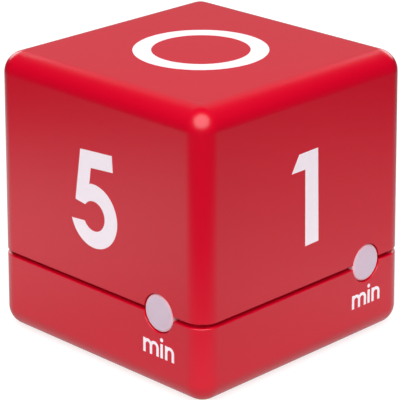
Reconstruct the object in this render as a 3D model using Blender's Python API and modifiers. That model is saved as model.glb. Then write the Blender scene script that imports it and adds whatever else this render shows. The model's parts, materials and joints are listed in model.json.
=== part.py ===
"""Cube timer: a kitchen timer that is started by turning the wanted number of minutes to the top.

The cube stands on its base. +Z is up, the origin is on the base's outer face, in the middle.
The front face is at -Y, the right face at +X. Every length is in metres.
"""

import math

import bmesh
import bpy
from mathutils import Matrix, Vector

# ---------------------------------------------------------------- driving dimensions
SIDE = 0.064  # outer width and depth, at the foot
HEIGHT = 0.064
DRAFT = 0.00065  # how far each wall leans in between foot and top
EDGE_RADIUS = 0.0048
WALL = 0.0024
GAP = 0.0003  # clearance between pieces that touch or fit together

# seam between the two shells, at the height of the lamps
SEAM_GAP = 0.0009  # height of the shadow line
LIP = 0.0010  # thickness of the upper shell's lip, outside the tongue
TONGUE = 0.0013
TONGUE_RISE = 0.0026  # of the tongue above the seam
TONGUE_ROOT = 0.0025  # of the tongue below the seam

# light windows, one on each side face
WINDOW_RADIUS = 0.0042
WINDOW_U = 0.0190  # from the middle of the face towards its right edge
WINDOW_GAP = 0.00025
WINDOW_EDGE = 0.0004  # rounding of the visible rim
WINDOW_FLANGE = 0.0007  # of the flange beyond the window's radius
WINDOW_FLANGE_THICK = 0.0008
LIGHT_PIPE_RADIUS = 0.0015
LIGHT_PIPE_LENGTH = 0.0011

# case screws and the posts they hold together
POST_RADIUS = 0.0032
FOOT_POST_RADIUS = 0.0034
SCREW_RADIUS = 0.0011
SCREW_HEAD_RADIUS = 0.0020
SCREW_HEAD = 0.0016
SCREW_LENGTH = 0.0140
SCREW_WELL = 0.0105  # depth of the well that hides a screw's head
POST_RIB = 0.0012

# printed circuit boards
BOARD = 0.0012
BOARD_ROOM = 0.0005  # from the main board to the window flanges
BOARD_CORNER = 0.0020
DISPLAY_RISE = 0.0056  # from the floor to the display board
BOARD_SCREW_RADIUS = 0.0008
BOARD_SCREW_HEAD_RADIUS = 0.0015
BOARD_SCREW_LENGTH = 0.0045
BOARD_POST_RADIUS = 0.0019

# battery compartment, with two AAA cells side by side along X
CELL_RADIUS = 0.00525
CELL_LENGTH = 0.0445
CELL_NUB = 0.0010
CELL_NUB_RADIUS = 0.0019
CELL_SPACE = 0.0005  # between the two cells
BAY_SIDE_ROOM = 0.00025
BAY_END_ROOM = 0.0030  # at each end, for the contacts
BAY_WALL = 0.0014
BAY_ROOF = 0.0012
CONTACT = 0.0004
CONTACT_WIDTH = 0.0068
CONTACT_TAB_WIDTH = 0.0024
SPRING_WIRE_RADIUS = 0.00035
SPRING_TURNS = 3
SPRING_WIDE = 0.0030
SPRING_NARROW = 0.0020

# battery door
DOOR = 0.0018
DOOR_RECESS = 0.0002
DOOR_CORNER = 0.0012
DOOR_LEDGE = 0.00045  # of floor left under each row of contacts
TAB_WIDTH = 0.0040
TAB_LENGTH = 0.0014
TAB_THICK = 0.0007
TAB_SPREAD = 0.0060  # of each tab from the door's middle
LATCH_WIDTH = 0.0036
LATCH = 0.0008
LATCH_RISE = 0.0020  # above the floor
GRIP_WIDTH = 0.0080
NOTCH_RADIUS = 0.0030

# display, seen through the floor
DISPLAY_X = -0.0065
LENS_LENGTH = 0.0290
LENS_WIDTH = 0.0140
LENS = 0.0010
LENS_RECESS = 0.0001
VIEW_LENGTH = 0.0250
VIEW_WIDTH = 0.0106
GLASS = 0.0011
GLASS_LENGTH = 0.0290
GLASS_WIDTH = 0.0150
GLASS_LEDGE = 0.0034
FRAME_WALL = 0.0010
ZEBRA_WIDTH = 0.0020

# volume switch
SWITCH_X = 0.0165  # of the knob in its off position
SWITCH_TRAVEL = 0.0030
KNOB_LENGTH = 0.0050
KNOB_WIDTH = 0.0034
KNOB_FLANGE = 0.0006
KNOB_FLANGE_RIM = 0.0003  # of the flange beyond the hole, at each end of the travel
LEVER = 0.0014
SWITCH_BODY_LENGTH = 0.0094
SWITCH_BODY_WIDTH = 0.0040
SWITCH_BODY = 0.0028

# tilt switches
CAN_RADIUS = 0.0027
CAN_LENGTH = 0.0092
CAN_WALL = 0.0004
CAN_CAP = 0.0016
BALL_RADIUS = 0.0019
CAN_SPREAD = 0.0085  # of the two lying cans from the middle, along X
CAN_Y = 0.0060

# lamps, lying on the main board
LAMP_RADIUS = 0.0014
LAMP_FLANGE_RADIUS = 0.0016
LAMP_FLANGE = 0.0008
LAMP_LENGTH = 0.0042

# buzzer
BUZZER_RADIUS = 0.0135
BUZZER = 0.0004
CERAMIC_RADIUS = 0.0100
BUZZER_RING = 0.0012
BUZZER_RING_DROP = 0.0020
SOUND_HOLE_RADIUS = 0.0008
SOUND_HOLE_PITCH = 0.0040
SOUND_HOLES = 5
WIRE_RADIUS = 0.0005

# roundness
EDGE_STEPS = 5
ROUND_STEPS = 20
SMALL_STEPS = 12
WINDOW_STEPS = 32

# ---------------------------------------------------------------- derived places
# heights, from the door up through the cells and the main board to the seam
DOOR_TOP = DOOR_RECESS + DOOR
CELL_Z = DOOR_TOP + GAP + CELL_RADIUS
BAY_TOP = CELL_Z + CELL_RADIUS + GAP
BAY_ROOF_TOP = BAY_TOP + BAY_ROOF
MAIN_BOARD_Z = BAY_ROOF_TOP + 2 * GAP
MAIN_BOARD_TOP = MAIN_BOARD_Z + BOARD
SEAM_Z = MAIN_BOARD_TOP + GAP + LAMP_FLANGE_RADIUS
UPPER_Z = SEAM_Z + SEAM_GAP / 2
LOWER_Z = SEAM_Z - SEAM_GAP / 2
TONGUE_TOP = SEAM_Z + TONGUE_RISE
FOOT_POST_TOP = MAIN_BOARD_Z - GAP
POST_FOOT = MAIN_BOARD_TOP + GAP
DISPLAY_BOARD_Z = WALL + DISPLAY_RISE
DISPLAY_BOARD_TOP = DISPLAY_BOARD_Z + BOARD
INNER_TOP = HEIGHT - WALL

# half the inside width at the seam, clear of both the tongue and the wall
INSIDE = SIDE / 2 - DRAFT * SEAM_Z / HEIGHT - max(WALL, LIP + GAP + TONGUE)

# places across the floor, from the front posts back past the cells to the display
FLANGE_FACE = INSIDE - GAP - WINDOW_FLANGE_THICK
MAIN_BOARD_HALF = FLANGE_FACE - BOARD_ROOM
POST_AT = FLANGE_FACE - GAP - max(POST_RADIUS, FOOT_POST_RADIUS)
CELL_PITCH = 2 * CELL_RADIUS + CELL_SPACE
BAY_HALF_X = CELL_LENGTH / 2 + BAY_END_ROOM
BAY_HALF_Y = CELL_PITCH / 2 + CELL_RADIUS + BAY_SIDE_ROOM
BAY_Y = -POST_AT + SCREW_HEAD_RADIUS + GAP + BAY_WALL + BAY_HALF_Y
BAY_BACK = BAY_Y + BAY_HALF_Y + BAY_WALL
DISPLAY_Y = BAY_BACK + 2 * GAP + FRAME_WALL + GAP + GLASS_WIDTH / 2
DISPLAY_BOARD_HALF = MAIN_BOARD_HALF - 2 * GAP
BOARD_POST_X = DISPLAY_BOARD_HALF - BOARD_POST_RADIUS
BOARD_POST_SPREAD = 0.0052  # of each post from the display's middle, along Y
BOARD_POSTS = [
    (x * BOARD_POST_X, DISPLAY_Y + y * BOARD_POST_SPREAD) for x in (-1, 1) for y in (-1, 1)
]
CORNERS = [(x * POST_AT, y * POST_AT) for x in (-1, 1) for y in (-1, 1)]
SIDES = {"front": 0, "right": 90, "rear": 180, "left": 270}  # turned about Z, degrees
CELLS = {1: (BAY_Y - CELL_PITCH / 2, 1), 2: (BAY_Y + CELL_PITCH / 2, -1)}  # Y, and where the nub points


def half_at(z):
    """Half the outer width at a height: the walls lean in towards the top."""
    return SIDE / 2 - DRAFT * z / HEIGHT


# ---------------------------------------------------------------- making objects
def empty_scene():
    for obj in list(bpy.data.objects):
        bpy.data.objects.remove(obj)


def collection(name):
    made = bpy.data.collections.new(name)
    bpy.context.scene.collection.children.link(made)
    return made


def material(name, colour, roughness, metallic=0.0):
    made = bpy.data.materials.new(name)
    made.use_nodes = True
    shader = made.node_tree.nodes["Principled BSDF"]
    shader.inputs["Base Color"].default_value = (*colour, 1)
    shader.inputs["Roughness"].default_value = roughness
    shader.inputs["Metallic"].default_value = metallic
    return made


def mesh_object(name, shape):
    """An object from a finished bmesh."""
    data = bpy.data.meshes.new(name)
    shape.to_mesh(data)
    shape.free()
    obj = bpy.data.objects.new(name, data)
    PIECES.objects.link(obj)
    return obj


def round_upright_edges(shape, radius, steps):
    edges = [e for e in shape.edges if abs(e.verts[0].co.z - e.verts[1].co.z) > GAP]
    bmesh.ops.bevel(shape, geom=edges, offset=radius, segments=steps, profile=0.5, affect="EDGES")


def box(name, low, high, corner=0.0, steps=3):
    """A block between any two opposite corners, its upright edges rounded if corner is given."""
    low, high = Vector(map(min, low, high)), Vector(map(max, low, high))
    shape = bmesh.new()
    bmesh.ops.create_cube(shape, size=1)
    bmesh.ops.scale(shape, vec=high - low, verts=shape.verts)
    bmesh.ops.translate(shape, vec=(low + high) / 2, verts=shape.verts)
    if corner:
        round_upright_edges(shape, corner, steps)
    return mesh_object(name, shape)


def rod(name, radius, start, end, end_radius=None, steps=ROUND_STEPS):
    """A cylinder or a cone between two points on its axis."""
    start, end = Vector(start), Vector(end)
    along = end - start
    turn = along.to_track_quat("Z", "Y").to_matrix().to_4x4()
    place = Matrix.Translation((start + end) / 2) @ turn
    shape = bmesh.new()
    top = radius if end_radius is None else end_radius
    bmesh.ops.create_cone(
        shape, cap_ends=True, segments=steps, radius1=radius, radius2=top, depth=along.length, matrix=place
    )
    return mesh_object(name, shape)


def turned(name, profile, steps=ROUND_STEPS):
    """A solid of revolution about Z. The profile runs from the top down its outer side."""
    shape = bmesh.new()
    points = [shape.verts.new((r, 0, z)) for r, z in profile]
    for a, b in zip(points, points[1:]):
        shape.edges.new((a, b))
    obj = mesh_object(name, shape)
    spin = obj.modifiers.new("turn", "SCREW")
    spin.steps = spin.render_steps = steps
    spin.use_merge_vertices = True
    spin.merge_threshold = 0.00001
    return obj


def tube(name, points, radius, sides=2):
    """A round wire along the points."""
    curve = bpy.data.curves.new(name, "CURVE")
    curve.dimensions = "3D"
    curve.bevel_depth = radius
    curve.bevel_resolution = sides
    curve.use_fill_caps = True
    line = curve.splines.new("POLY")
    line.points.add(len(points) - 1)
    for knot, place in zip(line.points, points):
        knot.co = (*place, 1)
    obj = bpy.data.objects.new(name, curve)
    PIECES.objects.link(obj)
    return obj


def smooth_route(knots, per_span):
    """Points of a Catmull-Rom curve through the knots."""
    knots = [Vector(k) for k in knots]
    ends = [2 * knots[0] - knots[1], *knots, 2 * knots[-1] - knots[-2]]
    found = []
    for a, b, c, d in zip(ends, ends[1:], ends[2:], ends[3:]):
        for i in range(per_span):
            t = i / per_span
            found.append(0.5 * (2 * b + (c - a) * t + (2 * a - 5 * b + 4 * c - d) * t**2
                                + (3 * b - a - 3 * c + d) * t**3))
    return [*found, knots[-1]]


def as_tool(obj):
    """A tool is used by a Boolean and is no piece of the timer."""
    PIECES.objects.unlink(obj)
    TOOLS.objects.link(obj)
    obj.hide_render = True
    obj.display_type = "WIRE"
    return obj


def boolean(target, tool, operation):
    step = target.modifiers.new(tool.name, "BOOLEAN")
    step.operation = operation
    step.object = as_tool(tool)
    return target


def cut(target, tool):
    return boolean(target, tool, "DIFFERENCE")


def add(target, tool):
    return boolean(target, tool, "UNION")


def turn_about_z(obj, degrees):
    obj.matrix_world = Matrix.Rotation(math.radians(degrees), 4, "Z") @ obj.matrix_basis
    return obj


def set_origin(obj, place):
    """Puts the object's origin on its joint, leaving the mesh where it is."""
    obj.data.transform(Matrix.Translation(-Vector(place)))
    obj.location = place
    return obj


def finish(obj, name, paint, smooth_angle=35):
    """Names a finished piece, and gives it its material and its shading."""
    obj.name = obj.data.name = name
    obj.data.materials.clear()
    obj.data.materials.append(paint)
    if obj.type == "MESH":
        obj.data.shade_smooth()
        obj.data.set_sharp_from_angle(angle=math.radians(smooth_angle))
    return obj


# ---------------------------------------------------------------- shells
def skin(name, z_low, z_high, closed_top):
    """Five sides of the cube with rounded edges, open at the seam, with a wall inside them."""
    shape = bmesh.new()
    bmesh.ops.create_cube(shape, size=1)
    for corner in shape.verts:
        z = z_high if corner.co.z > 0 else z_low
        half = half_at(z)
        corner.co = (math.copysign(half, corner.co.x), math.copysign(half, corner.co.y), z)
    open_z = z_low if closed_top else z_high

    def at_the_seam(item):
        return all(abs(v.co.z - open_z) < GAP for v in item.verts)

    bmesh.ops.delete(shape, geom=[f for f in shape.faces if at_the_seam(f)], context="FACES_ONLY")
    edges = [e for e in shape.edges if not at_the_seam(e)]
    bmesh.ops.bevel(
        shape, geom=edges, offset=EDGE_RADIUS, segments=EDGE_STEPS, profile=0.5, affect="EDGES"
    )
    obj = mesh_object(name, shape)
    wall = obj.modifiers.new("wall", "SOLIDIFY")
    wall.thickness = WALL
    wall.offset = -1
    wall.use_even_offset = True
    return obj


def rounded_ring(name, half, radius, thickness, z_low, z_high):
    """A square tube with rounded corners: the tongue that the upper shell slips over."""
    outer = box(name, (-half, -half, z_low), (half, half, z_high), radius, EDGE_STEPS)
    inner_half = half - thickness
    inner = box(
        name + "_inside",
        (-inner_half, -inner_half, z_low - WALL),
        (inner_half, inner_half, z_high + WALL),
        radius - thickness,
        EDGE_STEPS,
    )
    return cut(outer, inner)


def window_holes(shell):
    """Cuts the round holes that both shells share."""
    radius = WINDOW_RADIUS + WINDOW_GAP
    for side, degrees in SIDES.items():
        hole = rod(
            shell.name + "_window_hole_" + side,
            radius,
            (WINDOW_U, -SIDE / 2 - WALL, SEAM_Z),
            (WINDOW_U, -INSIDE + WALL / 2, SEAM_Z),
            steps=WINDOW_STEPS,
        )
        cut(shell, turn_about_z(hole, degrees))


def upper_shell():
    """The tall cover: top, four walls, four long posts and the ring that holds the buzzer."""
    shell = skin("upper_shell", UPPER_Z, HEIGHT, closed_top=True)
    rebate = half_at(UPPER_Z) - LIP
    cut(shell, box(
        "rebate",
        (-rebate, -rebate, UPPER_Z - WALL),
        (rebate, rebate, TONGUE_TOP + GAP),
        EDGE_RADIUS - LIP,
        EDGE_STEPS,
    ))
    window_holes(shell)
    root = INNER_TOP + WALL / 3
    rib_foot = SEAM_Z + WINDOW_RADIUS + 4 * WINDOW_FLANGE
    reach = half_at(HEIGHT) - WALL / 2
    rib_top = root - WALL / 5
    half_rib = POST_RIB / 2
    for number, (x, y) in enumerate(CORNERS, 1):
        add(shell, rod(f"post_{number}", POST_RADIUS, (x, y, POST_FOOT), (x, y, root)))
        wall_x, wall_y = math.copysign(reach, x), math.copysign(reach, y)
        add(shell, box(f"post_rib_x{number}", (x, y - half_rib, rib_foot), (wall_x, y + half_rib, rib_top)))
        add(shell, box(f"post_rib_y{number}", (x - half_rib, y, rib_foot), (x + half_rib, wall_y, rib_top)))
    for number, (x, y) in enumerate(CORNERS, 1):
        tip = SCREW_WELL + SCREW_LENGTH + 4 * GAP
        pilot = rod(
            f"pilot_{number}", SCREW_RADIUS + GAP, (x, y, POST_FOOT - WALL), (x, y, tip), steps=SMALL_STEPS
        )
        cut(shell, pilot)
    ring_foot = INNER_TOP - BUZZER_RING_DROP
    ring = rod("buzzer_ring", BUZZER_RADIUS, (0, 0, ring_foot), (0, 0, root), steps=WINDOW_STEPS)
    hollow = rod(
        "buzzer_ring_hollow",
        BUZZER_RADIUS - BUZZER_RING,
        (0, 0, ring_foot - WALL),
        (0, 0, INNER_TOP - GAP),
        steps=WINDOW_STEPS,
    )
    add(shell, cut(ring, hollow))
    return finish(shell, "upper_shell", RED_PLASTIC)


def base_shell():
    """The foot: floor, low walls, tongue, battery compartment, posts, and the holes in the floor."""
    shell = skin("base_shell", 0.0, LOWER_Z, closed_top=False)
    tongue_half = half_at(SEAM_Z) - LIP - GAP
    add(shell, rounded_ring(
        "tongue", tongue_half, EDGE_RADIUS - LIP - GAP, TONGUE, SEAM_Z - TONGUE_ROOT, TONGUE_TOP
    ))
    window_holes(shell)

    # posts
    sunk = WALL / 2
    for number, (x, y) in enumerate(CORNERS, 1):
        add(shell, rod(f"foot_post_{number}", FOOT_POST_RADIUS, (x, y, sunk), (x, y, FOOT_POST_TOP)))
    for number, (x, y) in enumerate(BOARD_POSTS, 1):
        top = DISPLAY_BOARD_Z - GAP
        post = rod(f"board_post_{number}", BOARD_POST_RADIUS, (x, y, sunk), (x, y, top), steps=SMALL_STEPS)
        add(shell, post)

    # battery compartment
    wall_x, wall_y = BAY_HALF_X + BAY_WALL, BAY_HALF_Y + BAY_WALL
    add(shell, box("bay", (-wall_x, BAY_Y - wall_y, sunk), (wall_x, BAY_Y + wall_y, BAY_ROOF_TOP)))
    cut(shell, box(
        "bay_hollow", (-BAY_HALF_X, BAY_Y - BAY_HALF_Y, WALL), (BAY_HALF_X, BAY_Y + BAY_HALF_Y, BAY_TOP)
    ))
    mouth = BAY_HALF_X - DOOR_LEDGE
    cut(shell, box(
        "bay_mouth", (-mouth, BAY_Y - BAY_HALF_Y, -WALL), (mouth, BAY_Y + BAY_HALF_Y, WALL + GAP), DOOR_CORNER
    ))
    for side in (-1, 1):
        middle = BAY_Y + side * TAB_SPREAD
        reach = TAB_WIDTH / 2 + GAP
        cut(shell, box(
            f"tab_pocket_{side + 2}",
            (-mouth - TAB_LENGTH, middle - reach, DOOR_TOP - TAB_THICK - GAP),
            (-mouth + GAP, middle + reach, DOOR_TOP + 2 * GAP),
        ))
        tab_y = BAY_Y + side * CELL_PITCH / 2
        slot = CONTACT_TAB_WIDTH / 2 + GAP
        cut(shell, box(
            f"contact_slot_{side + 2}",
            (BAY_HALF_X - CONTACT - 2 * GAP, tab_y - slot, BAY_TOP - GAP),
            (BAY_HALF_X, tab_y + slot, BAY_ROOF_TOP + WALL),
        ))
    notch_at = (mouth, BAY_Y, -WALL)
    cut(shell, rod("finger_notch", NOTCH_RADIUS, notch_at, (mouth, BAY_Y, DOOR_TOP / 2)))

    # wells and holes for the screws
    for number, (x, y) in enumerate(CORNERS, 1):
        cut(shell, rod(f"well_{number}", SCREW_HEAD_RADIUS + GAP, (x, y, -WALL), (x, y, SCREW_WELL)))
        hole = rod(f"screw_hole_{number}", SCREW_RADIUS + GAP, (x, y, 0), (x, y, SEAM_Z), steps=SMALL_STEPS)
        cut(shell, hole)
    for number, (x, y) in enumerate(BOARD_POSTS, 1):
        cut(shell, rod(
            f"board_pilot_{number}",
            BOARD_SCREW_RADIUS + GAP,
            (x, y, WALL),
            (x, y, DISPLAY_BOARD_Z),
            steps=SMALL_STEPS,
        ))

    # display window
    for label, length, width, top in (
        ("lens_seat", LENS_LENGTH + 2 * GAP, LENS_WIDTH + 2 * GAP, LENS_RECESS + LENS + GAP),
        ("view_hole", VIEW_LENGTH, VIEW_WIDTH, 2 * WALL),
    ):
        cut(shell, box(
            label,
            (DISPLAY_X - length / 2, DISPLAY_Y - width / 2, -WALL),
            (DISPLAY_X + length / 2, DISPLAY_Y + width / 2, top),
            DOOR_CORNER,
        ))

    cut(shell, box(
        "knob_slot",
        (SWITCH_X - KNOB_LENGTH / 2 - GAP, DISPLAY_Y - KNOB_WIDTH / 2 - GAP, -WALL),
        (SWITCH_X + SWITCH_TRAVEL + KNOB_LENGTH / 2 + GAP, DISPLAY_Y + KNOB_WIDTH / 2 + GAP, 2 * WALL),
    ))

    for number in range(SOUND_HOLES):
        x = (number - (SOUND_HOLES - 1) / 2) * SOUND_HOLE_PITCH
        cut(shell, rod(
            f"sound_hole_{number}",
            SOUND_HOLE_RADIUS,
            (x, -POST_AT, -WALL),
            (x, -POST_AT, 2 * WALL),
            steps=SMALL_STEPS,
        ))
    return finish(shell, "base_shell", RED_PLASTIC)


def light_window(side, degrees):
    """A milky disc in the seam, with a flange behind the wall and a short light pipe."""
    face = half_at(SEAM_Z) - GAP / 3
    flange = face - INSIDE + GAP
    back = face - FLANGE_FACE
    profile = [(0, 0), (WINDOW_RADIUS - WINDOW_EDGE, 0)]
    for step in range(1, 4):
        angle = math.radians(90 * step / 3)
        profile.append((
            WINDOW_RADIUS - WINDOW_EDGE + WINDOW_EDGE * math.sin(angle),
            -WINDOW_EDGE + WINDOW_EDGE * math.cos(angle),
        ))
    profile += [
        (WINDOW_RADIUS, -flange),
        (WINDOW_RADIUS + WINDOW_FLANGE, -flange),
        (WINDOW_RADIUS + WINDOW_FLANGE, -back),
        (LIGHT_PIPE_RADIUS, -back),
        (LIGHT_PIPE_RADIUS, -back - LIGHT_PIPE_LENGTH),
        (0, -back - LIGHT_PIPE_LENGTH),
    ]
    window = turned("light_window_" + side, profile, WINDOW_STEPS)
    window.location = (WINDOW_U, -face, SEAM_Z)
    window.rotation_euler = (math.radians(90), 0, 0)
    turn_about_z(window, degrees)
    return finish(window, "light_window_" + side, MILKY_PLASTIC)


# ---------------------------------------------------------------- door and switch
def battery_door():
    """The door turns on two tabs at its -X end. A springy latch holds its +X end."""
    half_x = BAY_HALF_X - DOOR_LEDGE - GAP
    half_y = BAY_HALF_Y - GAP
    door = box(
        "battery_door",
        (-half_x, BAY_Y - half_y, DOOR_RECESS),
        (half_x, BAY_Y + half_y, DOOR_TOP),
        DOOR_CORNER,
    )
    for side in (-1, 1):
        middle = BAY_Y + side * TAB_SPREAD
        add(door, box(
            f"door_tab_{side + 2}",
            (-half_x - TAB_LENGTH, middle - TAB_WIDTH / 2, DOOR_TOP - TAB_THICK),
            (-half_x + WALL, middle + TAB_WIDTH / 2, DOOR_TOP - GAP / 10),
        ))
    y_low, y_high = BAY_Y - LATCH_WIDTH / 2, BAY_Y + LATCH_WIDTH / 2
    leg_x = half_x - GAP
    hook_z = WALL + GAP
    add(door, box("latch_leg", (leg_x - LATCH, y_low, DOOR_TOP - LATCH), (leg_x, y_high, WALL + LATCH_RISE)))
    add(door, box(
        "latch_hook", (leg_x - LATCH / 2, y_low + GAP, hook_z), (half_x, y_high - GAP, hook_z + LATCH)
    ))
    for number in range(3):
        x = half_x - 0.0042 - number * 0.0016
        cut(door, box(
            f"grip_groove_{number}",
            (x - 0.0004, BAY_Y - GRIP_WIDTH / 2, -WALL),
            (x + 0.0004, BAY_Y + GRIP_WIDTH / 2, DOOR_RECESS + 0.0005),
        ))
    set_origin(door, (-half_x - GAP, BAY_Y, DOOR_RECESS))
    return finish(door, "battery_door", RED_PLASTIC)


def volume_knob():
    """The knob that a finger slides. Its flange stays behind the floor and hides the hole at each end."""
    x, y = SWITCH_X, DISPLAY_Y
    half_length, half_width = KNOB_LENGTH / 2, KNOB_WIDTH / 2
    flange_z = WALL + GAP
    reach = half_length + SWITCH_TRAVEL + GAP + KNOB_FLANGE_RIM
    knob = box(
        "volume_knob",
        (x - half_length, y - half_width, DOOR_RECESS),
        (x + half_length, y + half_width, flange_z + KNOB_FLANGE / 2),
    )
    add(knob, box(
        "knob_flange",
        (x - reach, y - half_width - 2 * KNOB_FLANGE, flange_z),
        (x + reach, y + half_width + 2 * KNOB_FLANGE, flange_z + KNOB_FLANGE),
    ))
    socket = LEVER / 2 + GAP
    cut(knob, box("lever_socket", (x - socket, y - socket, WALL - GAP), (x + socket, y + socket, 2 * WALL)))
    for number in range(3):
        ridge = x + (number - 1) * 0.0014
        cut(knob, box(
            f"knob_groove_{number}",
            (ridge - 0.0003, y - KNOB_WIDTH, -WALL),
            (ridge + 0.0003, y + KNOB_WIDTH, DOOR_RECESS + 0.0003),
        ))
    set_origin(knob, (x, y, DOOR_RECESS))
    return finish(knob, "volume_knob", BLACK_PLASTIC)


def slide_switch():
    """The switch under the display board: a metal-cased body, and the lever that the knob pushes."""
    x, y = SWITCH_X + SWITCH_TRAVEL / 2, DISPLAY_Y
    top = DISPLAY_BOARD_Z - GAP
    body = box(
        "switch_body",
        (x - SWITCH_BODY_LENGTH / 2, y - SWITCH_BODY_WIDTH / 2, top - SWITCH_BODY),
        (x + SWITCH_BODY_LENGTH / 2, y + SWITCH_BODY_WIDTH / 2, top),
    )
    room = (SWITCH_TRAVEL + LEVER) / 2 + GAP
    cut(body, box(
        "lever_slot",
        (x - room, y - LEVER / 2 - GAP, top - 2 * SWITCH_BODY),
        (x + room, y + LEVER / 2 + GAP, top - SWITCH_BODY / 3),
    ))
    finish(body, "switch_body", STEEL)
    lever = box(
        "switch_lever",
        (SWITCH_X - LEVER / 2, y - LEVER / 2, WALL),
        (SWITCH_X + LEVER / 2, y + LEVER / 2, top - SWITCH_BODY / 3 - GAP),
    )
    set_origin(lever, (SWITCH_X, y, WALL))
    finish(lever, "switch_lever", BLACK_PLASTIC)


# ---------------------------------------------------------------- fasteners
def screw(name, place, radius, head_radius, head, length, points_up):
    """A pan-head screw with a cross recess. Its head's seat is at the place given."""
    sign = 1 if points_up else -1
    profile = [
        (0, length),
        (radius * 0.4, length),
        (radius, length - 1.5 * radius),
        (radius, 0),
        (head_radius, 0),
        (head_radius, -head * 0.6),
        (head_radius * 0.7, -head),
        (0, -head),
    ]
    made = turned(name, profile, SMALL_STEPS)
    arm, slit = head_radius * 0.6, head_radius * 0.14
    for label, x, y in (("a", arm, slit), ("b", slit, arm)):
        cut(made, box(f"{name}_recess_{label}", (-x, -y, -head * 1.5), (x, y, -head * 0.4)))
    placed = Matrix.Translation(place) @ Matrix.Rotation(0 if sign > 0 else math.pi, 4, "X")
    for part in [made, *[m.object for m in made.modifiers if m.type == "BOOLEAN"]]:
        part.matrix_world = placed
    return finish(made, name, STEEL)


def screws():
    for number, (x, y) in enumerate(CORNERS, 1):
        screw(
            f"case_screw_{number}",
            (x, y, SCREW_WELL - GAP),
            SCREW_RADIUS,
            SCREW_HEAD_RADIUS,
            SCREW_HEAD,
            SCREW_LENGTH,
            points_up=True,
        )
    for number, (x, y) in enumerate(BOARD_POSTS, 1):
        screw(
            f"board_screw_{number}",
            (x, y, DISPLAY_BOARD_TOP + GAP),
            BOARD_SCREW_RADIUS,
            BOARD_SCREW_HEAD_RADIUS,
            BOARD,
            BOARD_SCREW_LENGTH,
            points_up=False,
        )


# ---------------------------------------------------------------- display
def display():
    """Lens, liquid crystal glass, reflector, frame and the rubber strip that joins glass and board."""
    x, y = DISPLAY_X, DISPLAY_Y
    lens = box(
        "display_lens",
        (x - LENS_LENGTH / 2, y - LENS_WIDTH / 2, LENS_RECESS),
        (x + LENS_LENGTH / 2, y + LENS_WIDTH / 2, LENS_RECESS + LENS),
        DOOR_CORNER - GAP,
    )
    finish(lens, "display_lens", CLEAR_PLASTIC)

    glass_z = WALL + GAP
    length, width = GLASS_LENGTH / 2, GLASS_WIDTH / 2
    glass = box("lcd_panel", (x - length, y - width, glass_z), (x + length, y + width, glass_z + GLASS))
    add(glass, box(
        "rear_glass",
        (x - length + GAP / 3, y - width + GAP / 3, glass_z + GLASS / 2),
        (x + length - GAP / 3, y + width - GLASS_LEDGE, glass_z + 2 * GLASS),
    ))
    finish(glass, "lcd_panel", DISPLAY_GLASS)

    reflector_z = glass_z + 2 * GLASS + GAP
    reflector = box(
        "lcd_reflector",
        (x - length + 2 * GAP, y - width + 2 * GAP, reflector_z),
        (x + length - 2 * GAP, y + width - GLASS_LEDGE - GAP, reflector_z + GAP),
    )
    finish(reflector, "lcd_reflector", SILVER_FILM)

    zebra_y = y + width - GLASS_LEDGE / 2
    zebra = box(
        "zebra_strip",
        (x - length + 4 * GAP, zebra_y - ZEBRA_WIDTH / 2, glass_z + GLASS + GAP),
        (x + length - 4 * GAP, zebra_y + ZEBRA_WIDTH / 2, DISPLAY_BOARD_Z - GAP),
    )
    finish(zebra, "zebra_strip", GREY_RUBBER)

    inner_x, inner_y = length + GAP, width + GAP
    outer_x, outer_y = inner_x + FRAME_WALL, inner_y + FRAME_WALL
    top = DISPLAY_BOARD_Z - GAP
    frame = box("lcd_frame", (x - outer_x, y - outer_y, glass_z), (x + outer_x, y + outer_y, top))
    cut(frame, box("lcd_frame_hollow", (x - inner_x, y - inner_y, 0), (x + inner_x, y + inner_y, 2 * top)))
    finish(frame, "lcd_frame", WHITE_PLASTIC)


# ---------------------------------------------------------------- boards and what is on them
def display_board():
    half = DISPLAY_BOARD_HALF
    front = BAY_BACK + GAP
    rear = POST_AT - FOOT_POST_RADIUS - GAP
    board = box("display_board", (-half, front, DISPLAY_BOARD_Z), (half, rear, DISPLAY_BOARD_TOP))
    for number, (x, y) in enumerate(BOARD_POSTS, 1):
        hole = rod(
            f"display_board_hole_{number}",
            BOARD_SCREW_RADIUS + GAP,
            (x, y, DISPLAY_BOARD_Z - WALL),
            (x, y, DISPLAY_BOARD_TOP + WALL),
            steps=SMALL_STEPS,
        )
        cut(board, hole)
    finish(board, "display_board", BOARD_GREEN)

    rest = DISPLAY_BOARD_TOP + GAP
    blob_radius, blob_rise = 0.0050, 0.0016
    profile = [(0, blob_rise), (blob_radius * 0.45, blob_rise * 0.9), (blob_radius * 0.8, blob_rise * 0.5),
               (blob_radius, 0), (0, 0)]
    blob = turned("chip_blob", profile)
    blob.location = (DISPLAY_X - 0.004, DISPLAY_Y, rest)
    finish(blob, "chip_blob", BLACK_EPOXY)

    can, long = 0.0015, 0.0080
    start = (DISPLAY_X + 0.006, DISPLAY_Y + 0.004, rest + can)
    crystal = rod("quartz_crystal", can, start, Vector(start) + Vector((long, 0, 0)), steps=SMALL_STEPS)
    finish(crystal, "quartz_crystal", STEEL)

    header = box(
        "board_header",
        (DISPLAY_X - 0.0090, front + 0.0012, rest),
        (DISPLAY_X + 0.0090, front + 0.0035, MAIN_BOARD_Z - GAP),
    )
    finish(header, "board_header", BLACK_PLASTIC)


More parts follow.
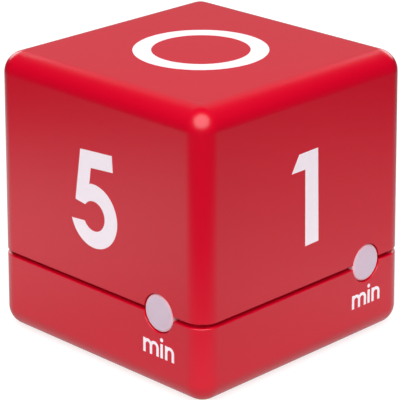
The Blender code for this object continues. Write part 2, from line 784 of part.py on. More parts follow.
def main_board():
    """The board lies between the two sets of posts. The battery contacts come up through it."""
    half = MAIN_BOARD_HALF
    board = box("main_board", (-half, -half, MAIN_BOARD_Z), (half, half, MAIN_BOARD_TOP), BOARD_CORNER)
    for number, (x, y) in enumerate(CORNERS, 1):
        cut(board, rod(
            f"main_board_hole_{number}",
            SCREW_RADIUS + GAP,
            (x, y, MAIN_BOARD_Z - WALL),
            (x, y, MAIN_BOARD_TOP + WALL),
            steps=SMALL_STEPS,
        ))
    slot = CONTACT_TAB_WIDTH / 2 + GAP
    for number, (y, _) in CELLS.items():
        cut(board, box(
            f"main_board_slot_{number}",
            (BAY_HALF_X - CONTACT - 2 * GAP, y - slot, MAIN_BOARD_Z - WALL),
            (BAY_HALF_X, y + slot, MAIN_BOARD_TOP + WALL),
        ))
    finish(board, "main_board", BOARD_GREEN)

    rest = MAIN_BOARD_TOP + GAP
    radius, tall = 0.0031, 0.0070
    capacitor = turned("capacitor", [
        (0, tall), (radius - 0.0003, tall), (radius, tall - 0.0003), (radius, 0.0012),
        (radius - 0.0003, 0.0010), (radius, 0.0008), (radius, 0), (0, 0),
    ])
    capacitor.location = (-0.0140, -0.0110, rest)
    finish(capacitor, "capacitor", BLACK_PLASTIC)

    flange, core, tall, cheek = 0.0040, 0.0028, 0.0045, 0.0008
    coil = turned("boost_coil", [
        (0, tall), (flange, tall), (flange, tall - cheek), (core, tall - cheek),
        (core, cheek), (flange, cheek), (flange, 0), (0, 0),
    ])
    coil.location = (0.0140, -0.0110, rest)
    finish(coil, "boost_coil", FERRITE)

    transistor = box("transistor", (0.0170, 0.0040, rest), (0.0200, 0.0055, rest + 0.0011))
    finish(transistor, "transistor", BLACK_EPOXY)


def lamp(side, degrees):
    """A 3 mm lamp lying on the main board, its dome at the light pipe."""
    radius, rim = LAMP_RADIUS, -LAMP_LENGTH + LAMP_FLANGE
    profile = [(0, 0)]
    for step in range(1, 5):
        angle = math.radians(90 * step / 4)
        profile.append((radius * math.sin(angle), radius * math.cos(angle) - radius))
    profile += [
        (radius, rim), (LAMP_FLANGE_RADIUS, rim), (LAMP_FLANGE_RADIUS, -LAMP_LENGTH), (0, -LAMP_LENGTH),
    ]
    made = turned("lamp_" + side, profile, SMALL_STEPS)
    made.location = (WINDOW_U, -FLANGE_FACE + LIGHT_PIPE_LENGTH + GAP, SEAM_Z)
    made.rotation_euler = (math.radians(90), 0, 0)
    turn_about_z(made, degrees)
    return finish(made, "lamp_" + side, RED_EPOXY)


def tilt_switch(label, middle, direction):
    """A can, the plug that closes it, and the loose ball that rolls from the plug to the can's end."""
    turn = Vector(direction).to_track_quat("Z", "Y")
    half = CAN_LENGTH / 2
    inner = CAN_RADIUS - CAN_WALL
    can = turned("tilt_can_" + label, [
        (0, half), (CAN_RADIUS, half), (CAN_RADIUS, -half), (inner, -half), (inner, half - CAN_WALL),
        (0, half - CAN_WALL),
    ], SMALL_STEPS)
    plug_radius = inner - GAP
    plug_top = -half + CAN_CAP
    plug = turned("tilt_plug_" + label, [
        (0, plug_top), (plug_radius, plug_top), (plug_radius, -half - GAP), (CAN_RADIUS, -half - GAP),
        (CAN_RADIUS, -half - 3 * GAP), (0, -half - 3 * GAP),
    ], SMALL_STEPS)
    shape = bmesh.new()
    bmesh.ops.create_uvsphere(shape, u_segments=SMALL_STEPS, v_segments=SMALL_STEPS // 2, radius=BALL_RADIUS)
    ball = mesh_object("tilt_ball_" + label, shape)
    for piece in (can, plug):
        piece.location = middle
        piece.rotation_euler = turn.to_euler()
    ball.location = Vector(middle) + Vector(direction).normalized() * (plug_top + GAP + BALL_RADIUS)
    finish(can, "tilt_can_" + label, STEEL)
    finish(plug, "tilt_plug_" + label, BLACK_PLASTIC)
    finish(ball, "tilt_ball_" + label, STEEL)


def tilt_switches():
    """Two cans lie across each other's diagonals and one stands, so that each face gives its own signal."""
    lying = MAIN_BOARD_TOP + GAP + CAN_RADIUS
    tilt_switch("a", (-CAN_SPREAD, CAN_Y, lying), (1, 1, 0))
    tilt_switch("b", (CAN_SPREAD, CAN_Y, lying), (1, -1, 0))
    standing = MAIN_BOARD_TOP + 4 * GAP + CAN_LENGTH / 2
    tilt_switch("c", (0, -CAN_Y, standing), (0, 0, 1))


# ---------------------------------------------------------------- battery parts
def cells():
    body = CELL_LENGTH - CELL_NUB
    for number, (y, nub) in CELLS.items():
        cell = turned(f"battery_cell_{number}", [
            (0, CELL_NUB), (CELL_NUB_RADIUS, CELL_NUB), (CELL_NUB_RADIUS, 0), (CELL_RADIUS - 0.0006, 0),
            (CELL_RADIUS, -0.0006), (CELL_RADIUS, -body + 0.0004), (CELL_RADIUS - 0.0004, -body), (0, -body),
        ])
        shoulder = BAY_HALF_X - 4 * GAP - CELL_NUB - CONTACT
        cell.location = (nub * shoulder, y, CELL_Z)
        cell.rotation_euler = (0, math.radians(90 * nub), 0)
        finish(cell, f"battery_cell_{number}", CELL_LABEL)


def contact_plate(name, x_side, y_low, y_high, bumps, tab_y=None):
    """A pressed plate at one end of the compartment, with a bump for each nub and a tab for the solder."""
    outer = BAY_HALF_X - GAP
    inner = outer - CONTACT
    foot, top = WALL + GAP, BAY_TOP - 3 * GAP
    plate = box(
        name,
        (x_side * outer, y_low, foot),
        (x_side * inner, y_high, top),
    )
    for number, y in enumerate(bumps):
        add(plate, rod(
            f"{name}_bump_{number}",
            CELL_NUB_RADIUS,
            (x_side * (inner + CONTACT / 2), y, CELL_Z),
            (x_side * (inner - GAP), y, CELL_Z),
            CELL_NUB_RADIUS * 0.7,
            SMALL_STEPS,
        ))
    if tab_y is not None:
        add(plate, box(
            name + "_tab",
            (x_side * outer, tab_y - CONTACT_TAB_WIDTH / 2, top - 3 * GAP),
            (x_side * inner, tab_y + CONTACT_TAB_WIDTH / 2, MAIN_BOARD_TOP + 3 * GAP),
        ))
    return finish(plate, name, STEEL)


def contact_spring(number):
    """A cone of wire between a plate and the flat end of a cell."""
    y, nub = CELLS[number]
    side = -nub
    start = BAY_HALF_X - GAP - CONTACT - GAP - SPRING_WIRE_RADIUS
    flat_end = CELL_LENGTH - (BAY_HALF_X - 4 * GAP - CONTACT)
    end = flat_end + GAP + SPRING_WIRE_RADIUS
    per_turn = 12
    count = SPRING_TURNS * per_turn
    points = []
    for step in range(count + 1):
        share = step / count
        angle = 2 * math.pi * step / per_turn
        radius = SPRING_WIDE + (SPRING_NARROW - SPRING_WIDE) * share
        x = start + (end - start) * share
        points.append((side * x, y + radius * math.cos(angle), CELL_Z + radius * math.sin(angle)))
    spring = tube(f"contact_spring_{number}", points, SPRING_WIRE_RADIUS, 1)
    return finish(spring, f"contact_spring_{number}", STEEL)


def contacts():
    half = CONTACT_WIDTH / 2
    first, second = CELLS[1][0], CELLS[2][0]
    contact_plate("contact_bridge", -1, first - half, second + half, [second])
    contact_plate("contact_positive", 1, first - half, first + half, [first], first)
    contact_plate("contact_negative", 1, second - half, second + half, [], second)
    for number in CELLS:
        contact_spring(number)


# ---------------------------------------------------------------- buzzer
def buzzer():
    """A brass disc glued to the ring under the top, its ceramic layer, and two wires to the main board."""
    disc_top = INNER_TOP - BUZZER_RING_DROP - GAP
    disc_z = disc_top - BUZZER
    disc = rod("buzzer_disc", BUZZER_RADIUS, (0, 0, disc_z), (0, 0, disc_top), steps=WINDOW_STEPS)
    finish(disc, "buzzer_disc", BRASS)
    layer_top = disc_z - GAP
    layer_z = layer_top - BUZZER
    layer = rod("buzzer_ceramic", CERAMIC_RADIUS, (0, 0, layer_z), (0, 0, layer_top), steps=WINDOW_STEPS)
    finish(layer, "buzzer_ceramic", CERAMIC)

    low = MAIN_BOARD_TOP + GAP
    under_disc = disc_z - GAP - WIRE_RADIUS
    under_layer = layer_z - GAP - WIRE_RADIUS
    # X, Y and the share of the way up from the board to the disc
    routes = {
        "red": (under_layer, [
            (0.0040, -0.0020, 1), (0.0060, -0.0060, 0.95), (0.0085, -0.0110, 0.82),
            (0.0060, -0.0160, 0.58), (0.0045, -0.0180, 0.30), (0.0060, -0.0185, 0.12),
            (0.0060, -0.0185, 0),
        ]),
        "black": (under_disc, [
            (-0.0115, -0.0020, 1), (-0.0120, -0.0065, 0.93), (-0.0070, -0.0130, 0.80),
            (-0.0020, -0.0165, 0.52), (-0.0035, -0.0190, 0.27), (-0.0020, -0.0185, 0.12),
            (-0.0020, -0.0185, 0),
        ]),
    }
    for colour, (high, shares) in routes.items():
        knots = [(x, y, low + share * (high - low)) for x, y, share in shares]
        wire = tube("buzzer_wire_" + colour, smooth_route(knots, 4), WIRE_RADIUS)
        finish(wire, "buzzer_wire_" + colour, RED_WIRE if colour == "red" else BLACK_PLASTIC)


# ---------------------------------------------------------------- the whole timer
empty_scene()
PIECES = collection("cube_timer")
TOOLS = collection("tools")

RED_PLASTIC = material("red_plastic", (0.56, 0.02, 0.03), 0.45)
MILKY_PLASTIC = material("milky_plastic", (0.75, 0.68, 0.74), 0.4)
CLEAR_PLASTIC = material("clear_plastic", (0.80, 0.84, 0.86), 0.1)
BLACK_PLASTIC = material("black_plastic", (0.02, 0.02, 0.02), 0.5)
WHITE_PLASTIC = material("white_plastic", (0.80, 0.80, 0.78), 0.5)
DISPLAY_GLASS = material("display_glass", (0.45, 0.48, 0.42), 0.15)
SILVER_FILM = material("silver_film", (0.70, 0.70, 0.70), 0.35, 1.0)
GREY_RUBBER = material("grey_rubber", (0.20, 0.20, 0.20), 0.7)
BOARD_GREEN = material("board_green", (0.02, 0.16, 0.06), 0.4)
BLACK_EPOXY = material("black_epoxy", (0.015, 0.015, 0.018), 0.3)
RED_EPOXY = material("red_epoxy", (0.60, 0.02, 0.02), 0.2)
FERRITE = material("ferrite", (0.05, 0.05, 0.05), 0.6)
STEEL = material("steel", (0.60, 0.60, 0.58), 0.3, 1.0)
BRASS = material("brass", (0.75, 0.55, 0.20), 0.3, 1.0)
CERAMIC = material("ceramic", (0.75, 0.73, 0.66), 0.5)
CELL_LABEL = material("cell_label", (0.06, 0.10, 0.22), 0.35)
RED_WIRE = material("red_wire", (0.60, 0.03, 0.03), 0.5)

upper_shell()
base_shell()
battery_door()
volume_knob()
slide_switch()
screws()
display()
display_board()
main_board()
tilt_switches()
cells()
contacts()
buzzer()
for side, degrees in SIDES.items():
    light_window(side, degrees)
    lamp(side, degrees)
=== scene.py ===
import json
import math

import bmesh
import bpy
from mathutils import Matrix, Vector
from mathutils.geometry import delaunay_2d_cdt


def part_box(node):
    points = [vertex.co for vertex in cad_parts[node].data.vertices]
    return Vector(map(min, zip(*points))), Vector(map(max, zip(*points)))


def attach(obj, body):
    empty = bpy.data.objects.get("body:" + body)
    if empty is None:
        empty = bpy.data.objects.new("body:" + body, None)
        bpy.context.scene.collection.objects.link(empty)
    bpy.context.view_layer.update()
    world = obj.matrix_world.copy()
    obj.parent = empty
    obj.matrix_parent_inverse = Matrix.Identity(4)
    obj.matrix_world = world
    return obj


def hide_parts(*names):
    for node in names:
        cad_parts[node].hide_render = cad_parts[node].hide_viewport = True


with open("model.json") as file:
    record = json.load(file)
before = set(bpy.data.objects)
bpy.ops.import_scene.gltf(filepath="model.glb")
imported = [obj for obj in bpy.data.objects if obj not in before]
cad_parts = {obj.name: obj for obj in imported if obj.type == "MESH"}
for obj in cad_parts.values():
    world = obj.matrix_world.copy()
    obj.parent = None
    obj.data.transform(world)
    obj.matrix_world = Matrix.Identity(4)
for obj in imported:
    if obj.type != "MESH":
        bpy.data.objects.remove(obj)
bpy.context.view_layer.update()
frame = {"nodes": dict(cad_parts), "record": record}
print("frame loaded")

bodyOf = {node: body for body, nodes in frame["record"]["behaviour"]["bodies"].items() for node in nodes}

# the case as the moulds make it: walls lean in by the draft between foot and top
case = {
    "half": 0.032,
    "height": 0.064,
    "draft": 0.00065,
    "edge": 0.0048,  # radius of the outer edges
    "seam": 0.0180,
    "seamGap": 0.0009,
    "lip": 0.00030,  # rounding of the two lips at the seam
    "skin": 0.0009,
    "arc": 14,  # faces round each edge
}


def halfAt(z):
    return case["half"] - case["draft"] * z / case["height"]


# colour and nodes

def linear(code):
    # sRGB hex to the linear colour that the shader takes
    parts = [int(code[i:i + 2], 16) / 255 for i in (0, 2, 4)]
    return (*[c / 12.92 if c <= 0.04045 else ((c + 0.055) / 1.055) ** 2.4 for c in parts], 1)


def addNode(tree, kind, settings=None, links=None):
    # settings: property or input name to value, links: input name to (node, output name)
    node = tree.nodes.new(kind)
    for key, value in (settings or {}).items():
        if isinstance(key, int) or key in node.inputs:
            node.inputs[key].default_value = value
        else:
            setattr(node, key, value)
    for key, (source, output) in (links or {}).items():
        tree.links.new(source.outputs[output], node.inputs[key])
    return node


def colourSockets(mix):
    # a mix node's two colour inputs and its colour output
    return [s for s in mix.inputs if s.type == "RGBA"], next(s for s in mix.outputs if s.type == "RGBA")


def surface(name, dark, light, patch, rough, grain=None, depth=0.0, stretch=(1, 1, 1), **sockets):
    # a moulded, rolled or cast surface: colour and roughness drift over patches, a grain gives the bump
    material = bpy.data.materials.new(name)
    material.use_nodes = True
    tree = material.node_tree
    shader = tree.nodes["Principled BSDF"]
    for key, value in sockets.items():
        shader.inputs[key.replace("_", " ")].default_value = value
    where = addNode(tree, "ShaderNodeTexCoord")
    grainWay = addNode(tree, "ShaderNodeMapping", {"Scale": stretch}, {"Vector": (where, "Object")})

    def noise(size, detail):
        settings = {"Scale": 1 / size, "Detail": detail}
        return addNode(tree, "ShaderNodeTexNoise", settings, {"Vector": (grainWay, "Vector")})

    drift = noise(patch, 3.0)
    ramp = addNode(tree, "ShaderNodeMix", {"data_type": "RGBA"})
    ends, result = colourSockets(ramp)
    ends[0].default_value, ends[1].default_value = linear(dark), linear(light)
    tree.links.new(drift.outputs["Fac"], ramp.inputs["Factor"])
    tree.links.new(result, shader.inputs["Base Color"])
    shine = addNode(
        tree, "ShaderNodeMapRange",
        {"From Min": 0.3, "From Max": 0.7, "To Min": rough[0], "To Max": rough[1]},
        {"Value": (drift, "Fac")},
    )
    tree.links.new(shine.outputs["Result"], shader.inputs["Roughness"])
    if grain:
        height = {"Height": (noise(grain, 2.0), "Fac")}
        bump = addNode(tree, "ShaderNodeBump", {"Strength": 1.0, "Distance": depth}, height)
        tree.links.new(bump.outputs["Normal"], shader.inputs["Normal"])
    return material


# materials

# moulded ABS with a satin soft-touch paint: broad haze on the flats, deep red where it turns away
caseRed = surface(
    "satinPaintedAbs", "C40122", "CA0224", 0.040, (0.269, 0.272),
    0.00016, 0.0000015, IOR=1.46,
)
# screen-printed white ink: thin, matt, a little uneven
printInk = surface("screenPrintInk", "F7E9F2", "FDF1F9", 0.0015, (0.50, 0.60), 0.00020, 0.000004, IOR=1.5)
# milky polycarbonate: light goes in and spreads; the red that the rim takes from the case around it is
# painted on as a glow
milky = surface(
    "milkyPolycarbonate", "D1BACB", "DAC3D3", 0.004, (0.30, 0.38), 0.0002, 0.000002,
    IOR=1.58, Subsurface_Weight=0.5, Subsurface_Radius=(0.6, 0.35, 0.4), Subsurface_Scale=0.0015,
)


def paintedRimGlow(material, code):
    # painted glow: the colour turns pink towards the rim, standing in for the red light of the case that
    # comes through the edge, by the "rim" value that the mesh carries
    tree = material.node_tree
    shader = tree.nodes["Principled BSDF"]
    plain = shader.inputs["Base Color"].links[0].from_socket
    rim = addNode(tree, "ShaderNodeAttribute", {"attribute_name": "rim"})
    span = {"From Min": 0.84, "From Max": 0.96}  # shares of the radius between which the colour turns
    share = addNode(tree, "ShaderNodeMapRange", span, {"Value": (rim, "Fac")})
    blend = addNode(tree, "ShaderNodeMix", {"data_type": "RGBA"}, {"Factor": (share, "Result")})
    ends, result = colourSockets(blend)
    tree.links.new(plain, ends[0])
    ends[1].default_value = linear(code)
    tree.links.new(result, shader.inputs["Base Color"])


# the pink at the rim is painted glow, not a tint of the plastic
paintedRimGlow(milky, "F0B8C2")
# black acetal: waxy, evenly dark
blackAcetal = surface("blackAcetal", "0E0E10", "17171A", 0.003, (0.40, 0.52), 0.0002, 0.000004, IOR=1.48)
# white ABS left as moulded
whiteAbs = surface("whiteAbs", "D9D8D2", "E4E3DE", 0.006, (0.45, 0.55), 0.0003, 0.000004, IOR=1.52)
# clear cast acrylic, polished: a sharp reflection over whatever is behind
clearAcrylic = surface(
    "clearAcrylic", "F4F8F8", "FFFFFF", 0.02, (0.02, 0.05),
    IOR=1.49, Transmission_Weight=1.0,
)
# black screen print on the back of the lens
maskInk = surface("lensMaskInk", "0B0B0D", "121215", 0.004, (0.35, 0.45), 0.0002, 0.000002, IOR=1.5)
# reflective liquid crystal glass, grey-green
lcdGlass = surface("lcdGlass", "8F9A86", "9AA591", 0.010, (0.10, 0.18), 0.0004, 0.000002, IOR=1.52)
segmentBlack = surface("lcdSegment", "1B2021", "252B2C", 0.002, (0.25, 0.35), IOR=1.5)
# aluminised film
silverFilm = surface(
    "aluminisedFilm", "BDBEC0", "D2D3D4", 0.004, (0.22, 0.36),
    0.0005, 0.00001, Metallic=1.0,
)
# silicone with carbon layers, one every 0.2 mm
zebraRubber = surface(
    "zebraSilicone", "202022", "5A5A5E", 0.0002, (0.60, 0.75),
    0.0002, 0.00001, (1, 0.02, 0.02),
)
# solder resist over glass cloth: glossy green with copper showing through as a paler tone
resist = surface(
    "solderResist", "0B4A26", "17663A", 0.0012, (0.22, 0.36),
    0.0005, 0.000012, IOR=1.55, Coat_Weight=0.3,
)
copperRun = surface(
    "resistOverCopper", "1C7A40", "2A8F50", 0.0015, (0.24, 0.34),
    0.0005, 0.000008, IOR=1.55, Coat_Weight=0.3,
)
# dripped black epoxy over a chip
globTop = surface("globTopEpoxy", "08080A", "101013", 0.003, (0.14, 0.28), 0.0012, 0.00003, IOR=1.55)
# clear red epoxy of a lamp
lampEpoxy = surface(
    "redLampEpoxy", "B20D12", "D0161B", 0.002, (0.05, 0.10),
    IOR=1.55, Transmission_Weight=0.6,
)
# sintered ferrite: dull, granular, nearly black
ferrite = surface("sinteredFerrite", "232224", "38363A", 0.0005, (0.55, 0.75), 0.0001, 0.00001)
# enamelled copper wire
copper = surface(
    "enamelledCopper", "9A4A22", "C0682F", 0.0006, (0.22, 0.34),
    0.0002, 0.000004, Metallic=1.0,
)
# nickel over rolled steel: drawn one way, faintly streaked
nickel = surface(
    "nickelledSteel", "A5A39D", "C4C2BC", 0.0015, (0.20, 0.36),
    0.0001, 0.000003, (1, 1, 0.1), Metallic=1.0,
)
# bright solder, slightly rippled
solder = surface("brightSolder", "B4B6B8", "D4D6D8", 0.0004, (0.16, 0.30), 0.0003, 0.00001, Metallic=1.0)
# rolled brass sheet
brass = surface(
    "rolledBrass", "B48A3C", "CDA552", 0.0020, (0.22, 0.36),
    0.0001, 0.000003, (1, 0.06, 1), Metallic=1.0,
)
# silvered piezo ceramic
piezo = surface("silveredPiezo", "C9C6BC", "DAD8D0", 0.0015, (0.40, 0.58), 0.0001, 0.000006)
# shrink sleeves of the cells, and their two colours
sleeveDark = surface(
    "sleeveSlate", "2C3A4C", "35455A", 0.006, (0.20, 0.32),
    0.0010, 0.000008, IOR=1.5, Coat_Weight=0.4,
)
sleeveBand = surface(
    "sleevePaleGrey", "B4B9BD", "C2C6CA", 0.003, (0.24, 0.34),
    0.0010, 0.000006, IOR=1.5, Coat_Weight=0.4,
)
# soft PVC over the wires
redPvc = surface("redPvc", "A50F14", "B9161B", 0.002, (0.36, 0.48), 0.0002, 0.000006)
blackPvc = surface("blackPvc", "0C0C0E", "151518", 0.002, (0.36, 0.48), 0.0002, 0.000006)

print("materials ready")


# meshes

def newObject(name, mesh):
    obj = bpy.data.objects.new(name, mesh)
    bpy.context.scene.collection.objects.link(obj)
    return obj


def fromShape(name, shape):
    mesh = bpy.data.meshes.new(name)
    shape.to_mesh(mesh)
    shape.free()
    return newObject(name, mesh)


def settle(obj):
    # modifiers and place become part of the mesh
    bpy.context.view_layer.update()
    graph = bpy.context.evaluated_depsgraph_get()
    mesh = bpy.data.meshes.new_from_object(obj.evaluated_get(graph))
    mesh.transform(obj.matrix_world)
    if obj.type == "MESH":
        obj.modifiers.clear()
        obj.data = mesh
        obj.matrix_world = Matrix.Identity(4)
        return obj
    name = obj.name
    bpy.data.objects.remove(obj)
    return newObject(name, mesh)


def combine(target, tools, operation):
    for tool in tools:
        step = target.modifiers.new(tool.name, "BOOLEAN")
        step.operation = operation
        step.object = tool
        step.solver = "EXACT"
    settle(target)
    for tool in tools:
        bpy.data.objects.remove(tool)
    return target


def shade(obj, angle=32):
    # smooth where the surface turns gently, sharp at real edges, and true flats kept flat
    obj.data.shade_smooth()
    obj.data.set_sharp_from_angle(angle=math.radians(angle))
    weigh = obj.modifiers.new("flats", "WEIGHTED_NORMAL")
    weigh.keep_sharp = True
    return settle(obj)


def place(obj, material, nodes=(), body=None, slot=None):
    obj.data.materials.clear()
    obj.data.materials.append(material)
    nodes = [nodes] if isinstance(nodes, str) else list(nodes)
    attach(obj, body or bodyOf[nodes[0]])
    if nodes:
        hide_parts(*nodes)
    return obj


def nodeCopy(node, name):
    # the solid of a CAD node as one welded mesh
    shape = bmesh.new()
    shape.from_mesh(frame["nodes"][node].data)
    bmesh.ops.remove_doubles(shape, verts=shape.verts, dist=0.0000005)
    bmesh.ops.dissolve_limit(shape, angle_limit=math.radians(0.5), verts=shape.verts, edges=shape.edges)
    return fromShape(name, shape)


def middleOf(node):
    low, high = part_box(node)
    return (low + high) / 2


def softened(node, name, width, material, segments=2, angle=35):
    # a block-like piece with its edges broken, as tools leave them
    obj = nodeCopy(node, name)
    soft = obj.modifiers.new("edges", "BEVEL")
    soft.width = width
    soft.segments = segments
    soft.limit_method = "ANGLE"
    soft.angle_limit = math.radians(angle)
    settle(obj)
    shade(obj)
    return place(obj, material, node)


def blockMesh(name, low, high, corner=0.0, segments=8):
    shape = bmesh.new()
    low, high = Vector(low), Vector(high)
    bmesh.ops.create_cube(shape, size=1)
    bmesh.ops.scale(shape, vec=high - low, verts=shape.verts)
    bmesh.ops.translate(shape, vec=(low + high) / 2, verts=shape.verts)
    if corner:
        upright = [e for e in shape.edges if abs(e.verts[0].co.z - e.verts[1].co.z) > 1e-5]
        bmesh.ops.bevel(shape, geom=upright, offset=corner, segments=segments, profile=0.5, affect="EDGES")
    return fromShape(name, shape)


def rodMesh(name, radius, start, end, segments=64):
    start, end = Vector(start), Vector(end)
    along = end - start
    turn = along.to_track_quat("Z", "Y").to_matrix().to_4x4()
    shape = bmesh.new()
    bmesh.ops.create_cone(
        shape, cap_ends=True, segments=segments, radius1=radius, radius2=radius, depth=along.length,
        matrix=Matrix.Translation((start + end) / 2) @ turn,
    )
    return fromShape(name, shape)


def joined(target, others):
    # several loose shells kept as one mesh
    shape = bmesh.new()
    for obj in [target, *others]:
        shape.from_mesh(obj.data)
    shape.to_mesh(target.data)
    shape.free()
    for obj in others:
        bpy.data.objects.remove(obj)
    return target


def lathe(name, profile, place=(0, 0, 0), axis=(0, 0, 1), segments=64):
    # the profile runs from the top down the outer side, as radius and height
    shape = bmesh.new()
    rings = []
    for radius, z in profile:
        if radius < 1e-7:
            rings.append([shape.verts.new((0, 0, z))])
            continue
        turns = [2 * math.pi * i / segments for i in range(segments)]
        rings.append([shape.verts.new((radius * math.cos(a), radius * math.sin(a), z)) for a in turns])
    for upper, lower in zip(rings, rings[1:]):
        for i in range(segments):
            j = (i + 1) % segments
            steps = ((upper, i), (lower, i), (lower, j), (upper, j))
            corners = [ring[k % len(ring)] for ring, k in steps]
            corners = [v for k, v in enumerate(corners) if v not in corners[:k]]
            if len(corners) > 2:
                shape.faces.new(corners)
    bmesh.ops.recalc_face_normals(shape, faces=shape.faces)
    obj = fromShape(name, shape)
    turn = Vector(axis).to_track_quat("Z", "Y").to_matrix().to_4x4()
    obj.data.transform(Matrix.Translation(Vector(place)) @ turn)
    return obj


def roundedProfile(points, radius, steps=4):
    # a lathe profile with each inner corner turned into a small arc
    made = [points[0]]
    for before, here, after in zip(points, points[1:], points[2:]):
        a, b, c = Vector(before), Vector(here), Vector(after)
        reach = min(radius, (a - b).length * 0.45, (c - b).length * 0.45)
        first, last = b + (a - b).normalized() * reach, b + (c - b).normalized() * reach
        for i in range(steps + 1):
            t = i / steps
            made.append(tuple(first * (1 - t) ** 2 + b * 2 * t * (1 - t) + last * t ** 2))
    return made + [points[-1]]


# the two shells

def skinMesh(name, zLow, zHigh, closedTop, inset=0.0, wall=0.0):
    # five sides of the case with rounded edges; the lip at the seam is rounded too
    shape = bmesh.new()
    bmesh.ops.create_cube(shape, size=1)
    for corner in shape.verts:
        z = zHigh if corner.co.z > 0 else zLow
        half = halfAt(z) - inset
        corner.co = (math.copysign(half, corner.co.x), math.copysign(half, corner.co.y), z)
    openZ = zLow if closedTop else zHigh

    def atSeam(item):
        return all(abs(v.co.z - openZ) < 1e-5 for v in item.verts)

    if wall:
        bmesh.ops.delete(shape, geom=[f for f in shape.faces if atSeam(f)], context="FACES_ONLY")
    edges = [e for e in shape.edges if not atSeam(e)]
    bmesh.ops.bevel(
        shape, geom=edges, offset=case["edge"] - inset, segments=case["arc"], profile=0.5, affect="EDGES"
    )
    obj = fromShape(name, shape)
    if not wall:
        return obj
    thick = obj.modifiers.new("wall", "SOLIDIFY")
    thick.thickness = wall
    thick.offset = -1
    thick.use_even_offset = True
    settle(obj)
    shape = bmesh.new()
    shape.from_mesh(obj.data)
    outer = halfAt(openZ) - wall / 2
    lip = [e for e in shape.edges if atSeam(e) and all(onOuterSide(v.co, outer) for v in e.verts)]
    bmesh.ops.bevel(shape, geom=lip, offset=case["lip"], segments=4, profile=0.5, affect="EDGES")
    shape.to_mesh(obj.data)
    shape.free()
    return obj


def onOuterSide(co, outer):
    # outside a square with rounded corners that runs down the middle of the wall
    straight = outer - case["edge"] + case["skin"] / 2
    dx, dy = max(abs(co.x) - straight, 0), max(abs(co.y) - straight, 0)
    return math.hypot(dx, dy) > case["edge"] - case["skin"] / 2


windows = {
    "u": 0.0190,  # from the middle of the face towards its right edge
    "radius": 0.0042,
    "hole": 0.00434,
    "flare": 0.00012,  # of the hole's mouth
    "rim": 0.00060,  # rounding of the edge that shows
    "flange": (0.0007, 0.0008),  # reach beyond the radius, and thickness
    "pipe": (0.0015, 0.0011),  # radius and length of the light pipe behind
    "angles": {"front": 0, "right": 90, "rear": 180, "left": 270},
}


def windowCutters(tag):
    # a straight hole whose mouth opens by a hair, as a broken edge
    radius, flare, y = windows["hole"], windows["flare"], -halfAt(case["seam"])
    profile = [
        (0, 0.002), (radius + flare, 0.002), (radius + flare, 0.00005), (radius + flare * 0.3, -flare * 0.35),
        (radius, -flare), (radius, -0.006), (0, -0.006),
    ]
    made = []
    for side, degrees in windows["angles"].items():
        hole = lathe(f"windowHole_{tag}_{side}", profile, (windows["u"], y, case["seam"]), (0, -1, 0), 96)
        hole.data.transform(Matrix.Rotation(math.radians(degrees), 4, "Z"))
        made.append(hole)
    return made


def trueNormals(obj):
    # on the outer skin every normal points away from the core that the edges are rounded about
    mesh, edge = obj.data, case["edge"]
    normals = [Vector(n.vector) for n in mesh.corner_normals]
    for face in mesh.polygons:
        for i in face.loop_indices:
            co = mesh.vertices[mesh.loops[i].vertex_index].co
            half = halfAt(co.z) - edge
            top = case["height"] - edge
            x, y = (max(-half, min(half, c)) for c in co.xy)
            core = Vector((x, y, max(edge, min(top, co.z))))
            away = co - core
            if abs(away.length - edge) < 0.00008 and away.normalized().dot(face.normal) > 0.97:
                normals[i] = away.normalized()
    mesh.normals_split_custom_set(normals)


def upperShell():
    lipZ = case["seam"] + case["seamGap"] / 2
    skin = skinMesh("upperSkin", lipZ, case["height"], True, wall=case["skin"])
    core = nodeCopy("upper_shell", "upperShell")
    trim = skinMesh("upperTrim", case["seam"] - 0.01, case["height"] - 0.0006, True, inset=0.0006)
    combine(core, [trim], "INTERSECT")
    combine(core, [skin], "UNION")
    combine(core, windowCutters("upper"), "DIFFERENCE")
    trueNormals(shade(core))
    return place(core, caseRed, "upper_shell")


base = {
    "floor": 0.0268,  # the floor inside this square keeps its own solid
    "notch": 0.0030,
    "notchGap": 0.0003,
    "well": (0.00234, 0.0105, 0.00020, 0.0020),  # radius, depth, broken mouth, and the cut's start below
    "sound": (0.00084, 0.0041, 0.00015, 0.0021),
    "soundHoles": 5,
    "soundPitch": 0.0040,
    "screwHead": 0.0020,
}


def floorHole(name, x, y, hole, segments):
    # a round hole up from below, whose mouth is broken by a hair
    radius, depth, mouth, under = hole
    return lathe(name, [
        (0, depth), (radius, depth), (radius, 0.0002), (radius + mouth, -0.00001), (radius + mouth, -under),
        (0, -under),
    ], (x, y, 0), segments=segments)


